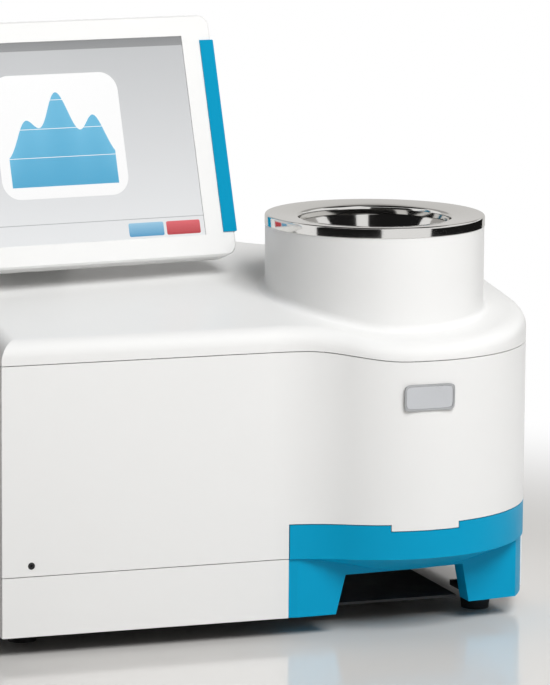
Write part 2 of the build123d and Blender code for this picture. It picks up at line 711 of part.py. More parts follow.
def detector_board():
    """Small board with the detector can, which reaches into the carriage, and a plug behind."""
    x = CROSSHEAD_X + CROSSHEAD_T
    board = box((x, x + BOARD_T), span(TOWER_Y, CELL_W - 2), span(BEAM_Z, CROSSHEAD_H + 6))
    can = rod_x((x - 1.5 * CROSSHEAD_T, x), TOWER_Y, BEAM_Z, WINDOW_R / 2)
    plug = box((x + BOARD_T, x + BOARD_T + PLUG_H), span(TOWER_Y, 16), span(BEAM_Z + CROSSHEAD_H / 3, PLUG_H))
    return board + can + plug


def feeder_housing():
    """Block with the dosing wheel's round chamber, open to the cell above and by a spout to the bin."""
    y = span(TOWER_Y, FEEDER_D)
    spout_z = (BIN_Z + BIN_H + SPOUT_GAP, FEEDER_Z)
    spout = (span(TOWER_X, 2 * (PATH + SPOUT_WALL)), span(TOWER_Y, CELL_W + 2 * SPOUT_WALL))
    block = box(span(TOWER_X, FEEDER_W), y, (FEEDER_Z, CELL_Z)) + box(*spout, spout_z)
    block -= rod_y(TOWER_X, (y[0] + FEEDER_CAP_T, y[1] + OVER), WHEEL_Z, WHEEL_R + WHEEL_GAP)
    block -= box((CELL_LEFT, CELL_RIGHT), span(TOWER_Y, CELL_W), (WHEEL_Z, CELL_Z + OVER))
    block -= box(span(TOWER_X, 2 * PATH), span(TOWER_Y, CELL_W), (spout_z[0] - OVER, WHEEL_Z))
    return block - rod_y(TOWER_X, past((y[0], y[0] + FEEDER_CAP_T)), WHEEL_Z, SHAFT_R + RUN)


def feeder_cap():
    """Plate that closes the chamber and carries the motor."""
    y = (TOWER_Y + FEEDER_D / 2, TOWER_Y + FEEDER_D / 2 + FEEDER_CAP_T)
    cap = box(span(TOWER_X, FEEDER_W), y, (FEEDER_Z, CELL_Z))
    cap = fillet(cap.edges().filter_by(Axis.Y), FEEDER_WALL)
    return cap - rod_y(TOWER_X, past(y), WHEEL_Z, SHAFT_R + RUN)


def dosing_wheel():
    """Star wheel with rounded vanes on a shaft, turned by the motor behind it."""
    front, back = TOWER_Y - FEEDER_D / 2, TOWER_Y + FEEDER_D / 2
    y = span(TOWER_Y + FEEDER_CAP_T / 2, WHEEL_L)
    wheel = rod_y(TOWER_X, y, WHEEL_Z, HUB_R)
    tip = WHEEL_R - VANE_T / 2
    vane = box((0, tip), y, span(0, VANE_T)) + rod_y(tip, y, 0, VANE_T / 2)
    for i in range(VANES):
        wheel += Pos(TOWER_X, 0, WHEEL_Z) * Rot(Y=360 / VANES * (i + 0.5)) * vane
    return wheel + rod_y(TOWER_X, (front + FIT, back + FEEDER_CAP_T + SHAFT_IN - OVER), WHEEL_Z, SHAFT_R)


def dosing_motor():
    """Geared motor: square gearbox against the cap, round motor behind it."""
    y = TOWER_Y + FEEDER_D / 2 + FEEDER_CAP_T
    gearbox = box(span(TOWER_X, 2 * MOTOR_R), (y, y + GEARBOX_L), span(WHEEL_Z, 2 * MOTOR_R))
    gearbox = chamfer(gearbox.edges().filter_by(Axis.Y), MOTOR_R / 4)
    motor = gearbox + rod_y(TOWER_X, (y + GEARBOX_L, y + GEARBOX_L + MOTOR_L), WHEEL_Z, MOTOR_R - WALL)
    return motor - rod_y(TOWER_X, (y - OVER, y + SHAFT_IN), WHEEL_Z, SHAFT_R + RUN)


def deck_plate():
    """Steel deck over the drawer, with the hole for the spout and a fold that carries the right rail."""
    z = (DECK_Z, FEEDER_Z)
    deck = ROOM & box((DIVIDER_X, BODY_W), (-BULGE_R, ROOM_BACK), z)
    around = 2 * (SPOUT_WALL + FIT)
    deck -= box(span(TOWER_X, 2 * PATH + around), span(TOWER_Y, CELL_W + around), past(z))
    return deck + box((FOLD_X, FOLD_X + SHEET_T), (RAIL_Y, BODY_D - RAIL_REAR), (RAIL_Z - GROOVE, DECK_Z))


def bay_divider():
    """Folded steel wall from the tray to the deck."""
    y = (DRAWER_BACK_Y + WALL, ROOM_BACK)
    wall = box((DIVIDER_X, LEFT_RAIL_X), y, (FLOOR_Z, DECK_Z))
    return wall + box((LEFT_RAIL_X, LEFT_RAIL_X + DIVIDER_FOLD), y, (FLOOR_Z, FLOOR_Z + SHEET_T))


def base_tray():
    """Black steel floor tray with turned-up edges and four studs for the board."""
    floor = box((0, TRAY_X), (0, BODY_D), (FOOT_H, FLOOR_Z))
    floor -= box((BAY_X - SEAM, TRAY_X + OVER), (-OVER, DRAWER_BACK_Y + OVER), past((FOOT_H, FLOOR_Z)))
    tray = ROOM & floor
    edge, z = WALL + FIT, (FLOOR_Z, FLOOR_Z + TRAY_FLANGE)
    corner = LID_EDGE_R + 2 * TRAY_T
    tray += box((edge, edge + TRAY_T), (2 * corner, BODY_D - corner), z)
    tray += box((corner, BAY_X - corner), (ROOM_BACK - TRAY_T, ROOM_BACK), z)
    tray += box((corner, BAY_X - 2 * corner), (edge, edge + TRAY_T), z)
    for x in (BOARD_X[0] + 2 * STUD_R, BOARD_X[1] - 2 * STUD_R):
        for y in (BOARD_Y[0] + 2 * STUD_R, BOARD_Y[1] - 3 * STUD_R - PORT_DEEP):
            tray += Pos(x, y, FLOOR_Z) * extrude(RegularPolygon(STUD_R, 6), STUD_H)
    return tray


def right_sill():
    """Black steel sill along the right wall, with two tongues for the right feet and two posts to the deck."""
    x = (ROOM_RIGHT - SILL_W, ROOM_RIGHT)
    top = FOOT_H + SILL_H
    sill = box(x, (SILL_Y, BODY_D - LID_EDGE_R), (FOOT_H, top))
    z = (FOOT_H, FOOT_H + TONGUE_T)
    reach = FOOT_TOP_R + WALL
    front = box((RIGHT_FOOT_X - reach, DRAWER_WRAP_X - 2 * OVER), span(FRONT_FOOT_Y, 2 * reach), z)
    front += box((RIGHT_FOOT_X, x[1] - TRAY_T), (DRAWER_WRAP_Y + OVER, FRONT_FOOT_Y + reach), z)
    rear = box((TRAY_X + FIT, x[1] - TRAY_T), span(REAR_FOOT_Y, 2 * reach), z)
    spots = (SILL_Y + POST_BACK, REAR_FOOT_Y)
    posts = [box((x[0] + TRAY_T, x[1]), span(y, SILL_POST), (top, DECK_Z)) for y in spots]
    return ROOM & (sill + front + rear + posts)


def rubber_feet():
    """Four tapered rubber feet with a hollow underneath."""
    foot = Pos(0, 0, FOOT_H / 2) * Cone(FOOT_BASE_R, FOOT_TOP_R, FOOT_H)
    foot -= rod_z(0, 0, (-OVER, SHEET_T), FOOT_BASE_R - FOOT_RING)
    return [Pos(x, y, 0) * foot for x in (LEFT_FOOT_X, RIGHT_FOOT_X) for y in (FRONT_FOOT_Y, REAR_FOOT_Y)]


def leg_plan():
    """The legs seen from above: a flatter curve than the bulge, turning back at the right corner."""
    back = DRAWER_WRAP_Y + LEG_SIDE[1]
    start = (BAY_X, LEG_START_Y)
    end, corner, side = [(BODY_W - x, y) for x, y in (LEG_END, LEG_CORNER, LEG_SIDE)]
    area = make_face([
        ThreePointArc(start, (BAY_X + LEG_MID[0], LEG_MID[1]), end), ThreePointArc(end, corner, side),
        Line(side, (BODY_W, back)), Line((BODY_W, back), (BAY_X, back)), Line((BAY_X, back), start),
    ])
    return area & plan(LEG_SIDE_INSET)


def arch_face():
    """The finger arch seen from the front, wider at the floor."""
    foot_z = FOOT_H - OVER
    lean = (ARCH_Z - foot_z) / (ARCH_Z - FOOT_H)
    left, right = BAY_X + LEFT_LEG_W, BODY_W - RIGHT_LEG_W
    foot_left, foot_right = left - LEFT_FLARE * lean, right + RIGHT_FLARE * lean
    return make_face(Polyline(
        (left, ARCH_Z), (right, ARCH_Z), (foot_right, foot_z), (foot_left, foot_z), (left, ARCH_Z)))


def drawer_front():
    """Blue drawer front: a hollow band that follows the bulge, a finger lip, two legs beside an arch."""
    recess = (LOWER_SEAM_Z - ARCH_Z) / tan(radians(FINGER_SLOPE))
    band = extrude(Pos(0, 0, LOWER_SEAM_Z) * plan(), DRAWER_TOP_Z - LOWER_SEAM_Z)
    under = loft([Pos(0, 0, ARCH_Z) * plan(recess), Pos(0, 0, LOWER_SEAM_Z) * plan()], ruled=True)
    legs = extrude(Pos(0, 0, FOOT_H) * leg_plan(), LOWER_SEAM_Z - FOOT_H)
    reach = box((BAY_X, BODY_W), (-BULGE_R, DRAWER_WRAP_Y), TALL)
    reach -= box((BAY_X - OVER, DRAWER_WRAP_X), (DRAWER_BACK_Y, BODY_D), TALL)
    front = (band & reach) + (under & reach) + (legs & reach)
    arch = Plane(origin=(0, -BULGE_R, 0), x_dir=(1, 0, 0), z_dir=(0, -1, 0)) * arch_face()
    front -= extrude(arch, amount=2 * BODY_D, dir=(0, 1, 0))
    notch_z = DRAWER_TOP_Z - TAB_DROP - SEAM
    front -= box(tab_span(SEAM), DEEP, (notch_z, DRAWER_TOP_Z + OVER))
    hollow = extrude(Pos(0, 0, LOWER_SEAM_Z + WALL) * plan(WALL), notch_z - LOWER_SEAM_Z - 2 * WALL)
    hollow &= box((BAY_X + WALL, DRAWER_WRAP_X - WALL), (-BULGE_R, DRAWER_BACK_Y + OVER), TALL)
    leg_y, leg_z = (DRAWER_BACK_Y - 4 * WALL, DRAWER_BACK_Y + OVER), (FOOT_H + WALL, ARCH_Z)
    hollow += box((BAY_X + WALL, BAY_X + LEFT_LEG_W - LEFT_FLARE - 2 * WALL), leg_y, leg_z)
    return front - hollow


def drawer_bin():
    """Open sample bin behind the drawer front, with rounded corners."""
    x, y, z = (BIN_X, BIN_RIGHT), (DRAWER_BACK_Y, BIN_BACK_Y), (BIN_Z, BIN_Z + BIN_H)
    tub = box(x, y, z)
    tub = fillet(tub.edges().filter_by(Axis.Z).group_by(Axis.Y)[-1], BIN_REAR_R)
    inside_x, inside_y = [(side[0] + BIN_WALL, side[1] - BIN_WALL) for side in (x, y)]
    inside = box(inside_x, inside_y, (z[0] + BIN_WALL, z[1] + BIN_H))
    inside = fillet(inside.edges().filter_by(Axis.Z), BIN_REAR_R - BIN_WALL)
    return tub - fillet(inside.edges().group_by(Axis.Z)[0], BIN_FLOOR_R)


def mirrored(block):
    """A piece of the drawer's left side, and its twin on the right."""
    return [block, mirror(block, Plane.YZ.offset((BIN_X + BIN_RIGHT) / 2))]


def drawer_rails():
    """Two fixed rails, each with a groove that faces the bin."""
    y, edge = (RAIL_Y, BODY_D - RAIL_REAR), LEFT_RAIL_X + RAIL_W
    bar = box((LEFT_RAIL_X, edge), y, (RAIL_Z, RAIL_Z + RAIL_H))
    groove = box((edge - GROOVE, edge + OVER), past(y), span(RAIL_Z + RAIL_H / 2, TONGUE_H + 2 * FIT))
    return mirrored(bar - groove)


def drawer_runners():
    """Two runners on the bin: a web on its wall and a tongue in the rail's groove."""
    y, centre = (RAIL_Y, RUNNER_BACK_Y), RAIL_Z + RAIL_H / 2
    web = box((BIN_X - RUNNER_WEB, BIN_X), y, span(centre, RUNNER_H))
    tip = BIN_X - RUNNER_GAP - GROOVE + FIT
    return mirrored(web + box((tip, BIN_X - RUNNER_WEB), y, span(centre, TONGUE_H)))


def optical_bench():
    """Aluminium plate that holds the optics in line, with the hole for the grating's shaft."""
    z = (BENCH_Z, BENCH_TOP)
    plate = box(BENCH_X, BENCH_Y, z)
    plate = chamfer(plate.edges().filter_by(Axis.Z), BENCH_T / 2)
    return plate - rod_z(GRATING_X, GRATING_Y, past(z), SHAFT_R + RUN)


def bench_posts():
    """Six turned posts from the tray to the optical bench, slimmer beside the board."""
    radii = (POST_R, POST_R, SLIM_POST_R)
    rows = (BENCH_Y[0] + BOARD_GAP, BENCH_Y[1] - BENCH_T)
    return [rod_z(x, y, (FLOOR_Z, BENCH_Z), r) for x, r in zip(POST_X, radii) for y in rows]


def lamp_housing():
    """Finned aluminium block with a round chamber, open towards the filter wheel."""
    z = (BENCH_TOP, BEAM_Z + LAMP_UP)
    block = box(LAMP_X, span(TOWER_Y, LAMP_D), z)
    fin_z = (z[0] + LAMP_WALL, z[1] + OVER)
    for i in range(LAMP_FINS):
        x = LAMP_X[0] + LAMP_WALL / 2 + FIN_PITCH * i
        for side in (-1, 1):
            y = span(TOWER_Y + side * LAMP_D / 2, LAMP_D / 3)
            block -= box((x, x + FIN_PITCH / 2), y, fin_z)
    return block - rod_x((LAMP_X[0] + LAMP_WALL, LAMP_X[1] + OVER), TOWER_Y, BEAM_Z, LAMP_CHAMBER_R)


def lamp():
    """Halogen lamp: ceramic base and a domed capsule."""
    x, r = LAMP_X[0] + LAMP_WALL, LAMP_CHAMBER_R - 6
    base = rod_x((x, x + r + 2), TOWER_Y, BEAM_Z, r)
    tip = x + 3 * r
    return base + rod_x((x + r, tip), TOWER_Y, BEAM_Z, r - 2) + Pos(tip, TOWER_Y, BEAM_Z) * Sphere(r - 2)


def filter_wheel():
    """Disc with filters, one of them in the beam, on a short shaft."""
    y, x = TOWER_Y + FILTER_RING_R, (FILTER_X, FILTER_X + FILTER_T)
    wheel = rod_x(x, y, BEAM_Z, FILTER_R)
    for i in range(FILTERS):
        a = 2 * pi * i / FILTERS - pi / 2
        wheel -= rod_x(past(x), y + FILTER_RING_R * sin(a), BEAM_Z + FILTER_RING_R * cos(a), FILTER_HOLE_R)
    return wheel + rod_x((FILTER_X - 2.5 * FILTER_GAP, FILTER_X), y, BEAM_Z, FILTER_SHAFT_R)


def filter_motor():
    """Small motor on a bracket, beside the lamp's beam."""
    y, end = TOWER_Y + FILTER_RING_R, FILTER_X - FILTER_GAP
    x = (end - FILTER_MOTOR_L, end)
    motor = rod_x(x, y, BEAM_Z, FILTER_MOTOR_R)
    motor += box(span(sum(x) / 2, FILTER_MOTOR_L - 4), span(y, 1.3 * FILTER_MOTOR_R), (BENCH_TOP, BEAM_Z))
    return motor - rod_x((end - 2 * FILTER_GAP, end + OVER), y, BEAM_Z, FILTER_SHAFT_R + RUN)


def mirror_block(x, y, coming, going):
    """A flat mirror on the bench at a point of the beam, turned so that it sends the light on."""
    facing = degrees(atan2(going[1] - coming[1], going[0] - coming[0]))
    block = box((-MIRROR_T, 0), span(0, MIRROR_W), (BENCH_TOP, BEAM_Z + MIRROR_H / 2))
    return Pos(x, y, 0) * Rot(Z=facing) * block


def beam_way(start, end):
    """The direction of the beam from one point to another, one long."""
    dx, dy = end[0] - start[0], end[1] - start[1]
    return (dx / sqrt(dx ** 2 + dy ** 2), dy / sqrt(dx ** 2 + dy ** 2))


FIRST_MIRROR = (CASE_X[1] - FIRST_MIRROR_IN, TOWER_Y)
LAST_MIRROR = (CASE_X[1] - LAST_MIRROR_IN, TOWER_Y)
TO_GRATING = beam_way(FIRST_MIRROR, (GRATING_X, GRATING_Y))
FROM_GRATING = beam_way((GRATING_X, GRATING_Y), LAST_MIRROR)
GRATING_FACING = degrees(atan2(FROM_GRATING[1] - TO_GRATING[1], FROM_GRATING[0] - TO_GRATING[0]))


def monochromator_case():
    """Closed case of the grating with a port at each end of the beam, and the two mirrors in it."""
    x, y, z, w = CASE_X, CASE_Y, (BENCH_TOP, BENCH_TOP + CASE_H), CASE_WALL
    case = box(x, y, z)
    case -= box((x[0] + w, x[1] - w), (y[0] + w, y[1] - w), (z[0] - OVER, z[1] - w))
    case = chamfer(case.edges().group_by(Axis.Z)[-1], w / 2)
    case -= rod_x(past(x), TOWER_Y, BEAM_Z, PORT_R)
    along = (1, 0)
    first = mirror_block(*FIRST_MIRROR, along, TO_GRATING)
    last = mirror_block(*LAST_MIRROR, FROM_GRATING, along)
    return [case, first, last]


def at_grating(shape):
    """Moves a shape from the grating's own frame, whose face looks along +X, to the turntable."""
    return Pos(GRATING_X, GRATING_Y, 0) * Rot(Z=GRATING_FACING) * shape


def grating_mount():
    """Turntable with an upright plate, on the shaft of its motor."""
    top = BENCH_TOP + TABLE_T
    table = rod_z(0, 0, (BENCH_TOP + FIT, top), TABLE_R)
    plate = box((-GRATING_T, 0), span(0, GRATING_W + 4), (top, BEAM_Z + GRATING_W / 2 + 3))
    return at_grating(table + plate + rod_z(0, 0, (BENCH_Z - SHAFT_IN, BENCH_TOP + FIT), SHAFT_R))


def grating():
    """Ruled grating on the front of its mount."""
    return at_grating(box((0, GRATING_T), span(0, GRATING_W), span(BEAM_Z, GRATING_W)))


def grating_motor():
    """Flat motor under the bench."""
    body = rod_z(GRATING_X, GRATING_Y, (BENCH_Z - SCAN_MOTOR_H, BENCH_Z), TABLE_R)
    return body - rod_z(GRATING_X, GRATING_Y, (BENCH_Z - SHAFT_IN - 2, BENCH_Z + OVER), SHAFT_R + RUN)


def beam_tube():
    """Black tube from the monochromator to the cell, with a flange at the case."""
    x = (CASE_X[1], CELL_LEFT - CELL_WALL)
    tube = rod_x(x, TOWER_Y, BEAM_Z, TUBE_R) + rod_x((x[0], x[0] + 4), TOWER_Y, BEAM_Z, TUBE_R + TUBE_FLANGE)
    return tube - rod_x(past(x), TOWER_Y, BEAM_Z, TUBE_R - TUBE_WALL)


def beam_lens():
    """Double convex lens seated in the tube."""
    r = TUBE_R - TUBE_WALL
    offset = LENS_R - LENS_T
    lens = rod_x(span(0, 3 * LENS_T), 0, 0, r)
    for side in (-1, 1):
        lens &= Pos(side * offset, 0, 0) * Sphere(LENS_R)
    return Pos(CASE_X[1] + LENS_IN, TOWER_Y, BEAM_Z) * lens


def main_board():
    """Main circuit board with its heat sink, chips and headers."""
    x0, x1, y, top = BOARD_X[0], BOARD_X[1], BOARD_Y[0], BOARD_TOP
    sink_x, sink_y = x0 + 20, (y + 60, y + 100)
    board = box(BOARD_X, BOARD_Y, (BOARD_Z, top)) + box((sink_x, sink_x + 39), sink_y, (top, top + 4))
    for i in range(7):
        board += box((sink_x + 6 * i, sink_x + 6 * i + 3), sink_y, (top + 4, top + 20))
    for low, length in ((64, 20), (96, 16)):
        board += box((x1 - 30, x1 - 10), (y + low, y + low + length), (top, top + 3))
    for i in range(3):
        board += box((x0 + 6, x0 + 12), (y + 12 + 44 * i, y + 42 + 44 * i), (top, top + 9))
    return board


def power_supply():
    """Boxed power supply with a slotted cover."""
    y, z = (BODY_D - SUPPLY_REAR - SUPPLY_L, BODY_D - SUPPLY_REAR), (FLOOR_Z, FLOOR_Z + SUPPLY_H)
    case = box((SUPPLY_X, SUPPLY_RIGHT), y, z)
    case = chamfer(case.edges().group_by(Axis.Z)[-1], SHEET_T)
    first = (y[0] + 5 * SLOT_W, y[0] + 6 * SLOT_W)
    grooves_x = (SUPPLY_X + 3 * SLOT_W, SUPPLY_RIGHT - 3 * SLOT_W)
    return case - slots(grooves_x, first, (z[1] - SHEET_T, z[1] + OVER), SIDE_SLOTS - 3, 3 * SLOT_W, "Y")


def spokes(length, thick, deep):
    """Four arms at right angles about the fan's axis, as one list of bars in its middle plane."""
    return [Rot(Y=45 + 90 * i) * Pos(length / 2, 0, 0) * Box(length, deep, thick) for i in range(4)]


def fan_frame():
    """Square fan frame with its hub spider and the pin of the rotor."""
    y = (BODY_D - WALL - FAN_D, BODY_D - WALL)
    frame = box(span(FAN_X, FAN_W), y, span(FAN_Z, FAN_W))
    frame = fillet(frame.edges().filter_by(Axis.Y), FAN_W / 12)
    frame -= rod_y(FAN_X, past(y), FAN_Z, FAN_W / 2 - 2.5)
    spider = rod_y(FAN_X, (y[0], y[0] + WALL), FAN_Z, FAN_HUB_R)
    spider += [Pos(FAN_X, y[0] + WALL / 2, FAN_Z) * bar for bar in spokes(FAN_W / 2 - 2, WALL, WALL)]
    return frame + spider + rod_y(FAN_X, (y[0] + WALL, y[0] + 4 * WALL), FAN_Z, FAN_PIN_R)


def fan_rotor():
    """Hub with swept blades that runs on the frame's pin."""
    y = (BODY_D - FAN_D + FIT, BODY_D - WALL - 2)
    reach, root = FAN_W / 2 - 4, FAN_HUB_R / 2
    rotor = rod_y(FAN_X, y, FAN_Z, FAN_HUB_R)
    blade = Rot(X=BLADE_SWEEP) * Box(reach - root, 1.1 * (y[1] - y[0]), BLADE_T)
    blade = Pos((reach + root) / 2, 0, 0) * blade
    for i in range(FAN_BLADES):
        rotor += Pos(FAN_X, sum(y) / 2, FAN_Z) * Rot(Y=360 / FAN_BLADES * i) * blade
    rotor &= rod_y(FAN_X, y, FAN_Z, reach)
    return rotor - rod_y(FAN_X, (y[0] - OVER, BODY_D - WALL - FAN_D + 4 * WALL + FIT), FAN_Z, FAN_PIN_R + RUN)


def fan_guard():
    """Wire guard outside the rear panel: rings on four stays."""
    y, outer = (BODY_D, BODY_D + FLANGE_T), FAN_W / 2 - 1
    first, *others = [Pos(FAN_X, sum(y) / 2, FAN_Z) * bar for bar in spokes(outer, WIRE, FLANGE_T)]
    guard = first + others
    for i in range(GUARD_RINGS):
        r = outer - WIRE_PITCH * i
        guard += rod_y(FAN_X, y, FAN_Z, r) - rod_y(FAN_X, past(y), FAN_Z, r - WIRE)
    return guard


def power_inlet():
    """Mains inlet module: flange, body, recessed socket with three pins, and the well of the rocker."""
    y = (BODY_D, BODY_D + FLANGE_T)
    flange = box(span(INLET_X, INLET_W + 2 * FLANGE_W), y, span(INLET_Z, INLET_H + 2 * FLANGE_W))
    flange = fillet(flange.edges().filter_by(Axis.Y), WALL)
    body = flange + box(span(INLET_X, INLET_W), (BODY_D - INLET_DEEP, BODY_D), span(INLET_Z, INLET_H))
    socket = box(span(INLET_X, SOCKET_W), (BODY_D - SOCKET_DEEP, y[1] + OVER), span(SOCKET_Z, SOCKET_H))
    body -= chamfer(socket.edges().filter_by(Axis.Y).group_by(Axis.Z)[-1], SOCKET_H / 3.4)
    pin_y = (BODY_D - SOCKET_DEEP - OVER, BODY_D - 4)
    for x, z in ((-1, -2), (1, -2), (0, 3)):
        body += box(span(INLET_X + x * SOCKET_W / 3, 2), pin_y, span(SOCKET_Z + z, 4.5))
    well_y = (BODY_D - WELL_DEEP, y[1] + OVER)
    return body - box(span(INLET_X, ROCKER_W + 2 * FIT), well_y, span(ROCKER_Z, ROCKER_H + 2 * FIT))


def power_switch():
    """Rocker with two shallow faces, stored with its upper end pressed in."""
    half, y = ROCKER_H / 2 - 1.0, BODY_D - FLANGE_T
    width = ROCKER_W - FIT
    profile = make_face(Polyline(
        (-7, 0), (-1, -half), (3.2, -half + 0.4), (1.6, 0), (3.2, half - 0.4), (-1, half), (-7, 0)))
    rocker = extrude(Plane(origin=(-width / 2, 0, 0), x_dir=(0, 1, 0), z_dir=(1, 0, 0)) * profile, width)
    return Pos(INLET_X, y, ROCKER_Z) * Rot(X=ROCKER_TILT) * rocker


def port_holes():
    """The sockets of the block as ranges of X and Z: two stacked pairs, then two single ones."""
    holes, x = [], PORTS_X - PORTS_W / 2 + PORT_EDGE
    for i, width in enumerate(PORT_WIDTHS):
        low = BOARD_TOP + PORT_WEB
        if i < 2:
            high = low + PORT_LOW + PORT_WEB
            holes += [((x, x + width), (low, low + PORT_LOW)), ((x, x + width), (high, high + PORT_LOW))]
        else:
            holes.append(((x, x + width), (low, low + PORT_HIGH)))
        x += width + PORT_GAP
    return holes


def data_ports():
    """Row of data sockets on the rear edge of the main board, seen through the rear panel."""
    y = (BOARD_Y[1] - PORT_DEEP, BODY_D - FIT)
    block = box(span(PORTS_X, PORTS_W), y, (BOARD_TOP, BOARD_TOP + PORTS_H))
    for x, z in port_holes():
        block -= box(x, (BODY_D - PORT_DEEP, BODY_D + OVER), z)
    return block


def display_pedestal():
    """Round foot of the display, cut to the slope of the top cover."""
    foot = rod_z(SWIVEL_X, SWIVEL_Y, (LID_Z - LID_EDGE_R, PEDESTAL_TOP_Z), PEDESTAL_R)
    foot = fillet(foot.edges().group_by(Axis.Z)[-1], PEDESTAL_EDGE)
    return foot - CASING


def at_swivel(shape):
    """Moves a shape from the frame of the swivel, with its origin at the height of the pin."""
    return Pos(SWIVEL_X, SWIVEL_Y, PIN_Z) * Rot(Z=SWIVEL) * shape


def in_display(shape):
    """Moves a shape from the display's own frame (X right, Y to the back from its face, Z up its face)."""
    return at_swivel(Pos(0, -REACH, 0) * Rot(X=-TILT) * Pos(0, -DISP_T - PIN_BACK, -PIN_UP) * shape)


def swivel_arm():
    """Turntable and neck that reach forward to the tilt pin."""
    base = PEDESTAL_TOP_Z + FIT - PIN_Z
    top = base + TURNTABLE_T
    disc = rod_z(0, 0, (base, top), PEDESTAL_R - PEDESTAL_EDGE)
    disc = fillet(disc.edges().group_by(Axis.Z)[-1], PEDESTAL_EDGE)
    r = KNUCKLE_R
    side = make_face(Polyline(
        (5 - REACH, top), (PEDESTAL_R / 2, top), (PEDESTAL_R / 2 - 4, top + r), (r - REACH, 2),
        (2 - r - REACH, -r / 2), (5 - REACH, top)))
    neck = extrude(Plane(origin=(-KNUCKLE_W / 2, 0, 0), x_dir=(0, 1, 0), z_dir=(1, 0, 0)) * side, KNUCKLE_W)
    x = span(0, KNUCKLE_W)
    return at_swivel(disc + neck + rod_x(x, -REACH, 0, r) - rod_x(past(x), -REACH, 0, PIN_R + RUN))


def tilt_pin():
    """Steel pin through the ears and the knuckle."""
    length = KNUCKLE_W + 2 * (EAR_W + FIT)
    return in_display(rod_x(span(0, length), DISP_T + PIN_BACK, PIN_UP, PIN_R))


def grip_block(side, grow=0.0):
    """The strip of one side, as it wraps the edge; side is -1 left, 1 right."""
    x = (DISP_W / 2 - GRIP_W - grow, DISP_W / 2 + GRIP_PROUD)
    strip = box(x, (-GRIP_PROUD / 2, GRIP_WRAP + grow), (GRIP_BOTTOM - grow, DISP_H - GRIP_TOP + grow))
    return strip if side > 0 else mirror(strip, Plane.YZ)


def display_block():
    """The outer form of the display: rounded in front view, its back edge bevelled."""
    block = box(span(0, DISP_W), (0, DISP_T), (0, DISP_H))
    block = fillet(block.edges().filter_by(Axis.Y), DISP_R)
    block = chamfer(block.edges().group_by(Axis.Y)[-1], BACK_CHAMFER)
    return chamfer(block.edges().group_by(Axis.Y)[0], BEZEL_EDGE)


def display_bezel():
    """White front frame round the screen, with the steps for the glass and the grips."""
    frame = display_block() & box(WIDE, (-OVER, BEZEL_T), (-OVER, DISP_H + OVER))
    deep = (-OVER, BEZEL_T + OVER)
    frame -= box(span(0, SCREEN_W), deep, (LOWER_BORDER, LOWER_BORDER + SCREEN_H))
    seat = (LOWER_BORDER - PANEL_SEAT, LOWER_BORDER + SCREEN_H + PANEL_SEAT)
    frame -= box(span(0, SCREEN_W + 2 * PANEL_SEAT), (GLASS_T, deep[1]), seat)
    return in_display(frame - grip_block(-1) - grip_block(1))


def display_back():
    """White rear shell with vent slots and the two ears for the tilt pin."""
    shell = display_block() & box(WIDE, (BEZEL_T + FIT, DISP_T + OVER), (-OVER, DISP_H + OVER))
    room = DISP_W - 2 * (GRIP_W + WALL)
    room_z = (LOWER_BORDER - PANEL_SEAT, DISP_H - LOWER_BORDER + PANEL_SEAT)
    shell -= box(span(0, room), (0, DISP_T - WALL), room_z)
    shell = shell - grip_block(-1) - grip_block(1)
    top = DISP_H - UPPER_BORDER - 5 * SLOT_PITCH
    rear = (DISP_T - WALL - OVER, DISP_T + OVER)
    shell -= slots(span(0, SCREEN_W / 2), rear, (top, top + SLOT_W - OVER), 5, SLOT_PITCH - OVER, "Z")
    y = DISP_T + PIN_BACK
    for side in (-1, 1):
        x = sorted((side * (KNUCKLE_W / 2 + FIT), side * (KNUCKLE_W / 2 + FIT + EAR_W)))
        ear = rod_x(x, y, PIN_UP, KNUCKLE_R) + box(x, (DISP_T, y), span(PIN_UP, 2 * KNUCKLE_R))
        shell += ear - rod_x(past(x), y, PIN_UP, PIN_R)
    return in_display(shell)


def touch_glass():
    """Touch panel in the bezel, a little below its face."""
    return in_display(box(span(0, SCREEN_W), (GLASS_SINK, GLASS_T), (LOWER_BORDER, LOWER_BORDER + SCREEN_H)))


def lcd_panel():
    """Display panel behind the glass, in the bezel's step."""
    grow = PANEL_SEAT - OVER
    z = (LOWER_BORDER - grow, LOWER_BORDER + SCREEN_H + grow)
    return in_display(box(span(0, SCREEN_W + 2 * grow), (GLASS_T, GLASS_T + PANEL_T), z))


def display_board():
    """Display controller board on four studs behind the panel."""
    y = GLASS_T + PANEL_T
    face = y + DRIVER_GAP
    middle = LOWER_BORDER + SCREEN_H / 2
    board = box(span(0, DRIVER_W), (face, face + BOARD_T), span(middle, DRIVER_H))
    for x in (-1, 1):
        for z in (-1, 1):
            place = (x * (DRIVER_W / 2 - 12), middle + z * (DRIVER_H / 2 - 8))
            board += rod_y(place[0], (y, face), place[1], 3)
    chips_y = (face + BOARD_T, face + BOARD_T + 3)
    board += box((-40, -10), chips_y, span(middle, 30))
    return in_display(board + box((10, 50), chips_y, span(middle, 14)))


def grip_strips():
    """Blue strips that wrap the two sides of the display, with rounded edges."""
    strips = []
    for side in (-1, 1):
        strip = grip_block(side)
        outer = strip.faces().sort_by(Axis.X)[-1 if side > 0 else 0]
        strips.append(in_display(fillet(outer.edges(), GRIP_EDGE)))
    return strips


